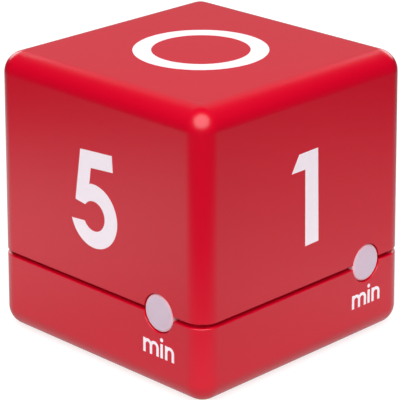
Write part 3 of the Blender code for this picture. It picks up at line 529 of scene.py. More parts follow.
def baseShell():
    lipZ = case["seam"] - case["seamGap"] / 2
    skin = skinMesh("baseSkin", 0.0, lipZ, False, wall=case["skin"])
    flat = base["floor"]
    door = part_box("battery_door")
    notch = (door[1].x + base["notchGap"], (door[0].y + door[1].y) / 2)
    combine(skin, [
        blockMesh("floorOpening", (-flat, -flat, -0.002), (flat, flat, 0.002)),
        rodMesh("notchOpening", base["notch"], (*notch, -0.002), (*notch, 0.0010)),
    ], "DIFFERENCE")
    core = nodeCopy("base_shell", "baseShell")
    trim = skinMesh("baseTrim", 0.0006, case["seam"] + 0.01, False, inset=0.0006)
    flat += 0.0001
    floor = blockMesh("floorTrim", (-flat, -flat, -0.002), (flat, flat, 0.004))
    combine(trim, [floor], "UNION")
    combine(core, [trim], "INTERSECT")
    combine(core, [skin], "UNION")
    # round holes cut again at their true size
    cutters = windowCutters("base")
    for i in range(1, 5):
        middle = middleOf(f"case_screw_{i}")
        cutters.append(floorHole(f"well_{i}", middle.x, middle.y, base["well"], 64))
    for i in range(base["soundHoles"]):
        x = (i - (base["soundHoles"] - 1) / 2) * base["soundPitch"]
        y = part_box("case_screw_1")[0].y + base["screwHead"]
        cutters.append(floorHole(f"soundHole_{i}", x, y, base["sound"], 40))
    combine(core, [joined(cutters[0], cutters[1:])], "DIFFERENCE")
    trueNormals(shade(core))
    return place(core, caseRed, "base_shell")


upperShell()
print("upper shell ready")
baseShell()
print("base shell ready")


def lightWindow(side, degrees):
    # a flush disc with a soft rim, then its flange and the light pipe behind it
    node = "light_window_" + side
    low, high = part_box(node)
    face = max(abs(low.x), abs(high.x), abs(low.y), abs(high.y))
    back = -min(high.x - low.x, high.y - low.y)
    radius, rim = windows["radius"], windows["rim"]
    (reach, thick), (pipe, pipeLong) = windows["flange"], windows["pipe"]
    profile = [(0, 0), (radius * 0.5, 0), (radius - rim, 0)]
    for i in range(1, 9):
        a = math.radians(90 * i / 8)
        profile.append((radius - rim + rim * math.sin(a), -rim + rim * math.cos(a)))
    profile += roundedProfile([
        (radius, -rim * 1.2), (radius, back + pipeLong + thick), (radius + reach, back + pipeLong + thick),
        (radius + reach, back + pipeLong), (pipe, back + pipeLong), (pipe, back), (0, back),
    ], 0.0001, 2)
    disc = lathe("lightWindow_" + side, profile, (windows["u"], -face, case["seam"]), (0, -1, 0), 128)
    # each point's share of the radius, which places the painted rim glow
    share = disc.data.attributes.new("rim", "FLOAT", "POINT")
    centre = Vector((windows["u"], 0, case["seam"]))
    for vertex, value in zip(disc.data.vertices, share.data):
        if vertex.co.y < -face + 2 * rim:
            value.value = (vertex.co * Vector((1, 0, 1)) - centre).length / radius
    disc.data.transform(Matrix.Rotation(math.radians(degrees), 4, "Z"))
    shade(disc)
    return place(disc, milky, node)


for side, degrees in windows["angles"].items():
    lightWindow(side, degrees)
print("light windows ready")


# print on the faces: outlines in metres, measured from the middle of the face and up from the table

ink = {"lift": 0.000006, "thick": 0.000030}


def arc(cx, cy, rx, ry, start, end, steps=24):
    angles = [math.radians(start + (end - start) * i / steps) for i in range(steps + 1)]
    return [(cx + rx * math.cos(a), cy + ry * math.sin(a)) for a in angles]


def ringOutline(cx, cy, rx, ry, stroke, steps=48):
    halves = []
    for start in (0, 180):
        outer = arc(cx, cy, rx, ry, start, start + 180, steps)
        inner = arc(cx, cy, rx - stroke, ry - stroke, start + 180, start, steps)
        halves.append(outer + inner)
    return halves


def flatPrint(name, outlines, place3d, material=printInk, body="case", slot="white_plastic"):
    # overlapping outlines become one sheet, laid on a face and given the thickness of the ink
    points, faces = [], []
    for outline in outlines:
        faces.append(list(range(len(points), len(points) + len(outline))))
        points += [Vector(p) for p in outline]
    found = delaunay_2d_cdt(points, [], faces, 1, 1e-7, True)
    shape = bmesh.new()
    low = [shape.verts.new(place3d(p.x, p.y, ink["lift"])) for p in found[0]]
    high = [shape.verts.new(place3d(p.x, p.y, ink["lift"] + ink["thick"])) for p in found[0]]
    count = {}
    kept = [f for f, origin in zip(found[2], found[5]) if origin]
    for face in kept:
        shape.faces.new([high[i] for i in face])
        shape.faces.new([low[i] for i in reversed(face)])
        for a, b in zip(face, face[1:] + face[:1]):
            count[a, b] = True
    for a, b in count:
        if (b, a) not in count:
            shape.faces.new([low[a], low[b], high[b], high[a]])
    loose = [v for v in shape.verts if not v.link_faces]
    bmesh.ops.delete(shape, geom=loose, context="VERTS")
    bmesh.ops.recalc_face_normals(shape, faces=shape.faces)
    obj = fromShape(name, shape)
    return place(obj, material, body=body, slot=slot)


def onSide(degrees):
    turn = Matrix.Rotation(math.radians(degrees), 3, "Z")

    def at(u, z, lift):
        return turn @ Vector((u, -halfAt(z) - lift, z))

    return at


def onTop(u, v, lift):
    return (u, v, case["height"] + lift)


def figureOne(shift=0.0):
    outline = [
        (0.0029, 0.04875), (0.00325, 0.02780), (-0.0009, 0.02765), (-0.0010, 0.0449), (-0.00515, 0.04485),
        (-0.0029, 0.0486),
    ]
    return [[(shift + x, z) for x, z in reversed(outline)]]


def figureFive(shift=0.0):
    bowl = {"x": -0.00035, "z": 0.03425, "outer": 0.00715, "inner": 0.00335}

    def along(radius, start, end, steps):
        return arc(bowl["x"], bowl["z"], radius, radius, start, end, steps)

    outline = [
        (-0.00425, 0.0484), (0.0054, 0.0491), (0.0056, 0.04545), (-0.0011, 0.0449), (-0.00165, 0.0411),
    ]
    outline += along(bowl["outer"], 98, -164, 60)
    outline += along(bowl["inner"], -150, 142, 48)
    outline += [(-0.0060, 0.03675)]
    return [[(shift + x, z) for x, z in reversed(outline)]]


def figureZero(shift=0.0):
    return ringOutline(shift, 0.0381, 0.0078, 0.0110, 0.0039)


unit = {
    "base": 0.0082,
    "tall": 0.0032,
    "stroke": 0.00070,
    "left": 0.0144,
    "stems": (0.00043, 0.00240, 0.00437, 0.00560, 0.00695, 0.00892),  # m has three, i has one and n has two
    "dot": (0.0041, 0.00044),  # height and radius
}


def minText():
    # the unit under each window, drawn with round arches
    foot, tall, half = unit["base"], unit["tall"], unit["stroke"] / 2
    stems = [unit["left"] + x for x in unit["stems"]]

    def stem(x, top):
        return [(x - half, foot), (x + half, foot), (x + half, top), (x - half, top)]

    def arch(x0, x1):
        # from the stem at x0 over to the stem at x1
        cx, outer = (x0 + x1) / 2, (x1 - x0) / 2 + half
        cz = foot + tall - outer
        upper = arc(cx, cz, outer, outer, 0, 180, 16)
        lower = arc(cx, cz, outer - 2 * half, outer - 2 * half, 180, 0, 16)
        return [upper + lower, stem(x1, cz)]

    shapes = [stem(stems[i], foot + tall) for i in (0, 3, 4)]
    for i in (0, 1, 4):
        shapes += arch(stems[i], stems[i + 1])
    rise, radius = unit["dot"]
    return shapes + [arc(stems[3], foot + rise, radius, radius, 0, 345, 23)]


flatPrint("printZeroTop", ringOutline(0, 0, 0.0147, 0.0147, 0.0040, 96), onTop)
flatPrint("printFiveFront", figureFive() + minText(), onSide(0))
flatPrint("printOneRight", figureOne() + minText(), onSide(90))
flatPrint("printFifteenRear", figureOne(-0.0090) + figureFive(0.0055) + minText(), onSide(180))
flatPrint("printTenLeft", figureOne(-0.0100) + figureZero(0.0055) + minText(), onSide(270))
print("print ready")

# Geometry Nodes for what repeats

def newGroup(name, sockets):
    # sockets: name to kind; the first is always the geometry that comes in
    group = bpy.data.node_groups.new(name, "GeometryNodeTree")
    group.interface.new_socket("Geometry", in_out="INPUT", socket_type="NodeSocketGeometry")
    for label, kind in sockets.items():
        group.interface.new_socket(label, in_out="INPUT", socket_type="NodeSocket" + kind)
    group.interface.new_socket("Geometry", in_out="OUTPUT", socket_type="NodeSocketGeometry")
    return group, addNode(group, "NodeGroupInput"), addNode(group, "NodeGroupOutput")


def windGroup():
    # a round wire wound about Z: springs, threads and the copper on a coil
    group, given, made = newGroup("windWire", {
        "Turns": "Float", "Foot Radius": "Float", "Top Radius": "Float", "Rise": "Float", "Wire": "Float",
        "Steps": "Int", "Sides": "Int", "Material": "Material",
    })
    path = addNode(group, "GeometryNodeCurveSpiral", {}, {
        "Resolution": (given, "Steps"), "Rotations": (given, "Turns"), "Height": (given, "Rise"),
        "Start Radius": (given, "Foot Radius"), "End Radius": (given, "Top Radius"),
    })
    section = addNode(group, "GeometryNodeCurvePrimitiveCircle", {}, {
        "Resolution": (given, "Sides"), "Radius": (given, "Wire"),
    })
    wire = addNode(group, "GeometryNodeCurveToMesh", {"Fill Caps": True}, {
        "Curve": (path, "Curve"), "Profile Curve": (section, "Curve"),
    })
    plain = addNode(group, "GeometryNodeRealizeInstances", {}, {"Geometry": (wire, "Mesh")})
    dressed = addNode(group, "GeometryNodeSetMaterial", {}, {
        "Geometry": (plain, "Geometry"), "Material": (given, "Material"),
    })
    group.links.new(dressed.outputs["Geometry"], made.inputs["Geometry"])
    return group


def copyGroup():
    # one small shape set on every point that comes in, each turned and sized a little differently
    group, given, made = newGroup("setCopies", {
        "Shape": "Object", "Seed": "Int", "Most Turn": "Float", "Smallest": "Float", "Material": "Material",
    })
    shape = addNode(group, "GeometryNodeObjectInfo", {}, {"Object": (given, "Shape")})
    angle = addNode(group, "FunctionNodeRandomValue", {"data_type": "FLOAT"}, {"Seed": (given, "Seed")})
    size = addNode(group, "FunctionNodeRandomValue", {"data_type": "FLOAT"}, {"Seed": (given, "Seed")})
    for node, low, high in ((angle, None, "Most Turn"), (size, "Smallest", None)):
        ends = [s for s in node.inputs if s.type == "VALUE" and s.enabled]
        for socket, source, value in zip(ends, (low, high), (0.0, 1.0)):
            socket.default_value = value
            if source:
                group.links.new(given.outputs[source], socket)
    out = {node: next(s for s in node.outputs if s.enabled) for node in (angle, size)}
    turn = addNode(group, "ShaderNodeCombineXYZ")
    group.links.new(out[angle], turn.inputs["Z"])
    copies = addNode(group, "GeometryNodeInstanceOnPoints", {}, {
        "Points": (given, "Geometry"), "Instance": (shape, "Geometry"), "Rotation": (turn, "Vector"),
    })
    group.links.new(out[size], copies.inputs["Scale"])
    plain = addNode(group, "GeometryNodeRealizeInstances", {}, {"Geometry": (copies, "Instances")})
    dressed = addNode(group, "GeometryNodeSetMaterial", {}, {
        "Geometry": (plain, "Geometry"), "Material": (given, "Material"),
    })
    group.links.new(dressed.outputs["Geometry"], made.inputs["Geometry"])
    return group


wind, copies = windGroup(), copyGroup()


def runGroup(obj, group, values):
    step = obj.modifiers.new(group.name, "NODES")
    step.node_group = group
    keys = {item.name: item.identifier for item in group.interface.items_tree if item.in_out == "INPUT"}
    for name, value in values.items():
        step[keys[name]] = value
    return settle(obj)


def woundWire(name, material, turns, foot, top, rise, wire, steps=24, sides=10):
    obj = newObject(name, bpy.data.meshes.new(name))
    return runGroup(obj, wind, {
        "Turns": float(turns), "Foot Radius": foot, "Top Radius": top, "Rise": rise, "Wire": wire,
        "Steps": steps, "Sides": sides, "Material": material,
    })


def setCopies(name, shape, points, material, seed=3, turn=0.0, smallest=1.0):
    mesh = bpy.data.meshes.new(name)
    mesh.from_pydata([tuple(p) for p in points], [], [])
    obj = runGroup(newObject(name, mesh), copies, {
        "Shape": shape, "Seed": seed, "Most Turn": turn, "Smallest": smallest, "Material": material,
    })
    bpy.data.objects.remove(shape)
    return obj


def wireAlong(name, knots, radius, perSpan=10, sides=14):
    # round wire on a smooth route through the knots, with flat cut ends
    knots = [Vector(k) for k in knots]
    ends = [2 * knots[0] - knots[1], *knots, 2 * knots[-1] - knots[-2]]
    route = []
    for a, b, c, d in zip(ends, ends[1:], ends[2:], ends[3:]):
        for i in range(perSpan):
            t = i / perSpan
            route.append(0.5 * (2 * b + (c - a) * t + (2 * a - 5 * b + 4 * c - d) * t ** 2
                                + (3 * b - a - 3 * c + d) * t ** 3))
    route.append(knots[-1])
    curve = bpy.data.curves.new(name, "CURVE")
    curve.dimensions = "3D"
    curve.bevel_depth = radius
    curve.bevel_resolution = sides // 4
    curve.use_fill_caps = True
    line = curve.splines.new("POLY")
    line.points.add(len(route) - 1)
    for knot, at in zip(line.points, route):
        knot.co = (*at, 1)
    return settle(newObject(name, curve))


# door, knob and switch

softened("battery_door", "batteryDoor", 0.00022, caseRed, 3)
softened("volume_knob", "volumeKnob", 0.00016, blackAcetal, 3)
softened("switch_lever", "switchLever", 0.00008, blackAcetal)
softened("switch_body", "switchBody", 0.00018, nickel, 3)


def underside(x, y, lift):
    return (x, -y, -lift)


marks = {
    "drop": 0.0052,  # from the knob's middle to the foot of the marks
    "ring": (0.0007, 0.00022),  # radius and stroke
    "bars": (0.0006, 0.0010, 0.0014),
    "barWidth": 0.0004,
    "barPitch": 0.0007,
    "arrow": (0.0128, 0.0032, 0.0020),  # from the door's free end, length, half width
}


def soundMarks():
    # beside the knob: an open ring for off, then bars that grow
    knob = middleOf("volume_knob")
    y, (radius, stroke) = -knob.y - marks["drop"], marks["ring"]
    ring = ringOutline(knob.x - 0.0002, y + radius, radius, radius, stroke, 16)
    bars = []
    for i, tall in enumerate(marks["bars"]):
        x = knob.x + 0.0021 + i * marks["barPitch"]
        end = x + marks["barWidth"]
        bars.append([(x, y), (end, y), (end, y + tall), (x, y + tall)])
    flatPrint("soundMarks", ring + bars, underside)


def doorArrow():
    # a raised arrow that shows where the door's latch is
    low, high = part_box("battery_door")
    back, long, half = marks["arrow"]
    x, y = high.x - back, (low.y + high.y) / 2

    def onDoor(u, v, lift):
        return (u, v, low.z - lift * 3)

    arrow = [(x, y - half), (x + long, y), (x, y + half)]
    flatPrint("doorArrow", [arrow], onDoor, caseRed, "door", "red_plastic")


soundMarks()
doorArrow()
print("door and switch ready")


# display

display = {
    "mask": (0.0284, 0.0134, 0.0008),  # length, width, corner
    "view": (0.0238, 0.0094, 0.0006),
    "maskLift": 0.00004,
    "maskThick": 0.00003,
    "digit": 0.0062,
    "stroke": 0.00072,
    "step": 0.0047,  # from one figure to the next
    "colon": (0.0013, 0.0004),  # height and radius of its dots
    "lit": ("abcdef", "afgcd", "abcdef", "abcdef"),  # the bars of 0, 5, 0 and 0
}


def displayLens():
    low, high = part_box("display_lens")
    lens = blockMesh("displayLens", low, high, 0.0009, 10)
    soft = lens.modifiers.new("edges", "BEVEL")
    soft.width, soft.segments, soft.limit_method = 0.00012, 3, "ANGLE"
    shade(settle(lens))
    place(lens, clearAcrylic, "display_lens")
    mask, hole = maskPlate("lensMask", "mask", low, high), maskPlate("maskHole", "view", low, high, 0.001)
    place(combine(mask, [hole], "DIFFERENCE"), maskInk, body="case", slot="black_plastic")


def maskPlate(name, key, low, high, over=0.0):
    # a thin plate just above the lens; over makes it reach past the mask, as a cutter
    long, wide, corner = display[key]
    x, y, z = (low.x + high.x) / 2, (low.y + high.y) / 2, high.z + display["maskLift"]
    return blockMesh(
        name, (x - long / 2, y - wide / 2, z - over),
        (x + long / 2, y + wide / 2, z + display["maskThick"] + over), corner, 8,
    )


def segmentShapes(lit, left, foot):
    # seven bars with pointed ends, of a figure whose lower left corner is given
    tall, stroke = display["digit"], display["stroke"]
    wide, half, cut = tall * 0.52, tall / 2, stroke * 0.62
    corners = {
        "a": ((0, tall), (wide, tall)), "b": ((wide, half), (wide, tall)), "c": ((wide, 0), (wide, half)),
        "d": ((0, 0), (wide, 0)), "e": ((0, 0), (0, half)), "f": ((0, half), (0, tall)),
        "g": ((0, half), (wide, half)),
    }
    shapes = []
    for key in lit:
        start, end = (Vector((left + x, foot + y)) for x, y in corners[key])
        along = (end - start).normalized()
        side = Vector((-along.y, along.x)) * stroke / 2
        start, end = start + along * cut / 2, end - along * cut / 2
        tip = along * stroke / 2
        shapes.append([
            start, start + tip - side, end - tip - side, end, end - tip + side, start + tip + side,
        ])
    return shapes


def displayFigures():
    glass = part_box("lcd_panel")
    middle = middleOf("display_lens")

    def onGlass(u, v, lift):
        return (middle.x + u, middle.y - v, glass[0].z - lift)

    shapes = []
    for i, lit in enumerate(display["lit"]):
        left = (i - 2) * display["step"] + (0.0001 if i < 2 else 0.0011)  # with room for the colon
        shapes += segmentShapes(lit, left, -display["digit"] / 2)
    rise, radius = display["colon"]
    for v in (-rise, rise):
        shapes.append(arc(0.0004, v, radius, radius, 0, 345, 23))
    flatPrint("lcdFigures", shapes, onGlass, segmentBlack, "case", "black_plastic")


displayLens()
displayFigures()
softened("lcd_panel", "lcdPanel", 0.00010, lcdGlass)
softened("lcd_reflector", "lcdReflector", 0.00004, silverFilm)
softened("zebra_strip", "zebraStrip", 0.00012, zebraRubber)
softened("lcd_frame", "lcdFrame", 0.00012, whiteAbs)
print("display ready")


# boards

softened("display_board", "displayBoard", 0.00007, resist)
softened("main_board", "mainBoard", 0.00007, resist)
mainFoot, mainTop = (corner.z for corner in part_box("main_board"))
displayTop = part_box("display_board")[1].z


def onMain(x, y, lift):
    return (x, y, mainTop + lift)


def onDisplayBoard(x, y, lift):
    return (x, y, displayTop + lift)


def track(points, width=0.0005):
    # a copper run: straight lengths with round joints
    shapes = []
    for a, b in zip(points, points[1:]):
        a, b = Vector(a), Vector(b)
        side = (b - a).normalized() * width / 2
        side = Vector((-side.y, side.x))
        shapes.append([a - side, b - side, b + side, a + side])
    return shapes + [arc(x, y, width / 2, width / 2, 0, 345, 11) for x, y in points]


tracks = [  # the main board's copper runs, each from pad to pad
    [(-0.0152, -0.0110), (-0.0152, -0.0060), (-0.0120, -0.0028), (-0.0120, 0.0010)],
    [(-0.0128, -0.0110), (-0.0060, -0.0110), (-0.0035, -0.0135), (-0.0020, -0.0185)],
    [(0.0115, -0.0110), (0.0085, -0.0140), (0.0060, -0.0165), (0.0060, -0.0185)],
    [(0.0165, -0.0110), (0.0200, -0.0075), (0.0200, 0.0030), (0.0188, 0.0042)],
    [(0.0188, 0.0055), (0.0188, 0.0110), (0.0150, 0.0148), (0.0020, 0.0148), (-0.0010, 0.0178)],
    [(-0.0090, 0.0120), (-0.0090, 0.0160), (-0.0070, 0.0180), (0.0120, 0.0180)],
    [(-0.0210, -0.0060), (-0.0210, 0.0080), (-0.0170, 0.0120), (-0.0170, 0.0200), (-0.0140, 0.0230)],
    [(0.0010, -0.0230), (-0.0080, -0.0230), (-0.0130, -0.0180), (-0.0180, -0.0180)],
    [(0.0225, -0.0140), (0.0225, -0.0040), (0.0225, 0.0120), (0.0190, 0.0155), (0.0190, 0.0200)],
    [(-0.0020, 0.0060), (-0.0020, 0.0120), (0.0030, 0.0120)],
]
fan = {"inner": (0.0060, 0.0045), "outer": (0.0092, 0.0105), "edge": 0.0066, "width": 0.00022, "count": 18}


def legendRing(node, radius, steps):
    middle = middleOf(node)
    return ringOutline(middle.x, middle.y, radius, radius, 0.0002, steps)


def boardPrints():
    runs = [shape for run in tracks for shape in track(run)]
    flatPrint("mainTracks", runs, onMain, copperRun, "case", "board_green")
    rings = legendRing("capacitor", 0.0036, 24) + legendRing("boost_coil", 0.0045, 24)
    flatPrint("mainLegend", rings, onMain)
    flatPrint("chipRing", legendRing("chip_blob", 0.0057, 32), onDisplayBoard)
    blob, shapes = middleOf("chip_blob"), []
    (nearX, nearY), (farX, farY), edge = fan["inner"], fan["outer"], fan["edge"]
    for i in range(fan["count"]):
        a = math.radians(i * 360 / fan["count"] + 7)
        start = (blob.x + nearX * math.cos(a), blob.y + nearY * math.sin(a))
        end = (blob.x + farX * math.cos(a), blob.y + max(-edge, min(edge, farY * math.sin(a))))
        shapes += track([start, end], fan["width"])
    flatPrint("displayTracks", shapes, onDisplayBoard, copperRun, "case", "board_green")


boardPrints()

wireRoutes = {  # the buzzer's wires: x, y and share of the way up from the board
    "red": [
        (0.0040, -0.0020, 1), (0.0060, -0.0060, 0.95), (0.0085, -0.0110, 0.82), (0.0060, -0.0160, 0.58),
        (0.0045, -0.0180, 0.30), (0.0060, -0.0185, 0.12), (0.0060, -0.0185, 0),
    ],
    "black": [
        (-0.0115, -0.0020, 1), (-0.0120, -0.0065, 0.93), (-0.0070, -0.0130, 0.80), (-0.0020, -0.0165, 0.52),
        (-0.0035, -0.0190, 0.27), (-0.0020, -0.0185, 0.12), (-0.0020, -0.0185, 0),
    ],
}


def leadSpots():
    # where legs go through the main board
    spots = []
    for node, reach in (("capacitor", 0.0012), ("boost_coil", 0.0025)):
        middle = middleOf(node)
        spots += [(middle.x - reach, middle.y), (middle.x + reach, middle.y)]
    for degrees in windows["angles"].values():
        turn = Matrix.Rotation(math.radians(degrees), 2)
        for u in (windows["u"] - 0.00075, windows["u"] + 0.00075):
            spots.append(tuple(turn @ Vector((u, -0.0207))))
    for label in "abc":
        middle = middleOf("tilt_plug_" + label)
        spots += [(middle.x - 0.0012, middle.y), (middle.x + 0.0012, middle.y)]
    return spots + [route[-1][:2] for route in wireRoutes.values()]


def solderJoints():
    profile = [
        (0, 0.00042), (0.00022, 0.00040), (0.00030, 0.00022), (0.00050, 0.00008), (0.00075, 0), (0, 0),
    ]
    below = [(x, y, mainFoot - 0.00001) for x, y in leadSpots()]
    drop = lathe("solderDrop", [(r, -z) for r, z in profile], segments=24)
    under = shade(setCopies("solderJoints", drop, below, solder, 5, 6.2, 0.86), 60)
    place(under, solder, body="case", slot="steel")
    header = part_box("board_header")
    spots = [(header[0].x + 0.0012 + i * 0.00195, (header[0].y + header[1].y) / 2) for i in range(9)]
    crumb = lathe("solderCrumb", profile, segments=20)
    above = [(x, y, mainTop + 0.00001) for x, y in spots]
    top = shade(setCopies("headerJoints", crumb, above, solder, 8, 6.2, 0.86), 60)
    place(top, solder, body="case", slot="steel")


chip = {"long": 0.0012, "wide": 0.0008, "tall": 0.0004, "end": 0.00025, "tin": 0.00001}
chipSpots = [
    (-0.0060, -0.0080), (-0.0060, -0.0062), (0.0065, -0.0035), (0.0083, -0.0035), (0.0030, 0.0160),
    (0.0055, 0.0160), (-0.0180, 0.0020), (-0.0180, 0.0040), (0.0150, 0.0020), (-0.0130, 0.0200),
]


def chipParts():
    # small resistors: a dark body between two tinned ends, all by one pair of shapes
    x, y, z, tin = chip["long"] / 2, chip["wide"] / 2, chip["tall"], chip["tin"]
    points = [(*spot, mainTop + 0.00002) for spot in chipSpots]
    bodyShape = blockMesh("chipBody", (-x, -y, 0), (x, y, z))
    bodies = setCopies("chipBodies", bodyShape, points, globTop, 11)
    place(shade(bodies), globTop, body="case", slot="black_epoxy")
    ends = blockMesh("chipEndLeft", (-x - chip["end"], -y - tin, -tin), (-x, y + tin, z + tin))
    other = blockMesh("chipEndRight", (x, -y - tin, -tin), (x + chip["end"], y + tin, z + tin))
    caps = setCopies("chipEnds", joined(ends, [other]), points, solder, 11)
    place(shade(caps), solder, body="case", slot="steel")


solderJoints()
chipParts()
print("boards ready")


# what stands on the boards

def roundPiece(node, name, profile, at, axis, material, corner=0.00015, segments=64):
    made = lathe(name, roundedProfile(profile, corner), at, axis, segments)
    shade(made, 40)
    return place(made, material, node)


def quarterArc(radius, rise, steps, power=1.0):
    # a quarter of an arc from the crown down, as radius and height
    angles = [math.radians(90 * i / steps) for i in range(steps)]
    return [(radius * math.sin(a), rise * math.cos(a) ** power) for a in angles]


def capacitorCan():
    low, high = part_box("capacitor")
    middle, tall, radius = middleOf("capacitor"), high.z - low.z, (high.x - low.x) / 2
    groove = radius - 0.00035
    roundPiece("capacitor", "capacitor", [
        (0, tall - 0.00015), (radius - 0.0006, tall - 0.00015), (radius - 0.0005, tall), (radius, tall),
        (radius, 0.0013), (groove, 0.0011), (groove, 0.0009), (radius, 0.0007), (radius, 0), (0, 0),
    ], (middle.x, middle.y, low.z), (0, 0, 1), blackAcetal)


coil = {"core": 0.0028, "flange": 0.0008, "turns": 15, "wire": 0.00011, "layers": (0.00300, 0.00330, 0.00360)}


def boostCoil():
    low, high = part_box("boost_coil")
    middle, tall, radius = middleOf("boost_coil"), high.z - low.z, (high.x - low.x) / 2
    core, flange = coil["core"], coil["flange"]
    roundPiece("boost_coil", "boostCoil", [
        (0, tall), (radius, tall), (radius, tall - flange), (core, tall - flange), (core, flange),
        (radius, flange), (radius, 0), (0, 0),
    ], (middle.x, middle.y, low.z), (0, 0, 1), ferrite)
    room, lift = tall - flange * 2.5, flange * 1.25  # the copper stops a quarter short of each flange
    layers = [
        woundWire(f"coilLayer_{i}", copper, coil["turns"], reach, reach, room, coil["wire"], 36, 8)
        for i, reach in enumerate(coil["layers"])
    ]
    winding = joined(layers[0], layers[1:])
    winding.name = "coilWinding"
    winding.data.transform(Matrix.Translation((middle.x, middle.y, low.z + lift)))
    place(shade(winding, 70), copper, body="case", slot="brass")


def chipBlob():
    low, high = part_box("chip_blob")
    middle, rise, radius = middleOf("chip_blob"), high.z - low.z, (high.x - low.x) / 2
    dome = quarterArc(radius, rise, 15, 1.25) + [(radius, 0), (0, 0)]
    blob = lathe("chipBlob", dome, (middle.x, middle.y, low.z), (0, 0, 1), 72)
    place(shade(blob, 60), globTop, "chip_blob")


def quartzCrystal():
    low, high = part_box("quartz_crystal")
    middle, long, radius = middleOf("quartz_crystal"), high.x - low.x, (high.z - low.z) / 2
    roundPiece("quartz_crystal", "quartzCrystal", [
        (0, long), (radius - 0.0001, long), (radius - 0.0001, 0.0008), (radius, 0.0007), (radius, 0.0002),
        (0, 0.0002),
    ], (low.x, middle.y, middle.z), (1, 0, 0), nickel, 0.0004)


lamp = {
    "radius": 0.0014,
    "flange": 0.0016,
    "rim": 0.0008,
    "long": 0.0042,
    "legs": (-0.00075, 0.00075),
    "legRadius": 0.00020,
    "bend": 0.0010,  # from the lamp's foot to its legs' turn down
}


def lampWithLegs(side, degrees):
    node = "lamp_" + side
    face = max(abs(c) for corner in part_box(node) for c in (corner.x, corner.y))
    radius, long, rim = lamp["radius"], lamp["long"], lamp["rim"]
    profile = [(r, z - radius) for r, z in quarterArc(radius, radius, 10)] + [(radius, -radius)]
    profile += roundedProfile([
        (radius, rim - long), (lamp["flange"], rim - long), (lamp["flange"], -long), (0, -long),
    ], 0.0001, 2)
    made = lathe(node + "_lens", profile, (windows["u"], -face, case["seam"]), (0, -1, 0), 40)
    made.data.transform(Matrix.Rotation(math.radians(degrees), 4, "Z"))
    place(shade(made, 50), lampEpoxy, node)
    legs, back, z = [], -face + long, case["seam"]
    down = back + lamp["bend"]
    for i, reach in enumerate(lamp["legs"]):
        u = windows["u"] + reach
        legs.append(wireAlong(f"lampLeg_{side}_{i}", [
            (u, back - 0.0002, z), (u, back + 0.0006, z), (u, down, z - 0.0006), (u, down, mainFoot - 0.0002),
        ], lamp["legRadius"], 6, 8))
    pair = joined(legs[0], legs[1:])
    pair.name = "lampLegs_" + side
    pair.data.transform(Matrix.Rotation(math.radians(degrees), 4, "Z"))
    place(shade(pair, 60), nickel, body="case", slot="steel")


capacitorCan()
boostCoil()
softened("transistor", "transistor", 0.00014, globTop, 3)
softened("board_header", "boardHeader", 0.00020, blackAcetal, 3)
chipBlob()
quartzCrystal()
for side, degrees in windows["angles"].items():
    lampWithLegs(side, degrees)


can = {"radius": 0.0027, "long": 0.0092, "wall": 0.0004, "gap": 0.0003, "cap": 0.0016, "ball": 0.0019}


def tiltSwitch(label, direction):
    # a drawn can, the plug that closes it, and a ball that runs between the two
    axis, middle = Vector(direction).normalized(), middleOf("tilt_can_" + label)
    radius, half, wall, gap = can["radius"], can["long"] / 2, can["wall"], can["gap"]
    inner, floor = radius - wall, -half + can["cap"]
    roundPiece("tilt_can_" + label, "tiltCan_" + label, [
        (0, half), (radius, half), (radius, -half), (inner, -half), (inner, half - wall), (0, half - wall),
    ], middle, axis, nickel, 0.0002)
    roundPiece("tilt_plug_" + label, "tiltPlug_" + label, [
        (0, floor), (inner - gap, floor), (inner - gap, -half - gap), (radius, -half - gap),
        (radius, -half - 3 * gap), (0, -half - 3 * gap),
    ], middle, axis, blackAcetal, 0.0001)
    turns = [math.radians(a) for a in range(0, 181, 6)]
    circle = [(can["ball"] * math.sin(a), can["ball"] * math.cos(a)) for a in turns]
    ball = lathe("tiltBall_" + label, circle, middle + axis * (floor + gap + can["ball"]), axis, 48)
    place(shade(ball), nickel, "tilt_ball_" + label)


for label, direction in (("a", (1, 1, 0)), ("b", (1, -1, 0)), ("c", (0, 0, 1))):
    tiltSwitch(label, direction)
print("board pieces ready")


# screws: a turned head and shank, a pressed cross, and a wound thread on every one

def screwShape(name, sizes, material):
    radius, head, rise, long = (sizes[k] for k in ("radius", "head", "rise", "long"))
    core, cut = radius * 0.78, long - 2 * radius  # the shank inside the thread, and the thread's length
    shaft = lathe(name, [
        (0, long), (radius * 0.25, long - radius * 0.3), (core, long - 1.6 * radius), (core, 0.0002),
        (radius * 0.9, 0), (head * 0.97, 0), (head, -rise * 0.08), (head, -rise * 0.45),
        (head * 0.94, -rise * 0.68), (head * 0.80, -rise * 0.88), (head * 0.6, -rise * 0.97), (0, -rise),
    ], segments=48)
    arm, slit = head * 0.58, head * 0.13
    cross = blockMesh("crossLong", (-arm, -slit, -rise * 1.5), (arm, slit, -rise * 0.35))
    combine(cross, [blockMesh("crossWide", (-slit, -arm, -rise * 1.5), (slit, arm, -rise * 0.35))], "UNION")
    combine(shaft, [cross], "DIFFERENCE")
    wound = radius * 0.80
    turns, wire = cut / sizes["pitch"], radius * 0.19
    thread = woundWire(name + "Thread", material, turns, wound, wound, cut, wire, 28, 4)
    thread.data.transform(Matrix.Translation((0, 0, radius * 0.4)))
    return joined(shaft, [thread])


def screwSet(name, nodes, sizes, turned):
    shape = screwShape(name + "Shape", sizes, nickel)
    if turned:
        shape.data.transform(Matrix.Rotation(math.pi, 4, "X"))
    seats = []
    for node in nodes:
        low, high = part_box(node)
        z = high.z - sizes["rise"] if turned else low.z + sizes["rise"]
        seats.append(((low.x + high.x) / 2, (low.y + high.y) / 2, z))
    made = setCopies(name, shape, seats, nickel, 21, 1.4)
    place(shade(made, 40), nickel, nodes)


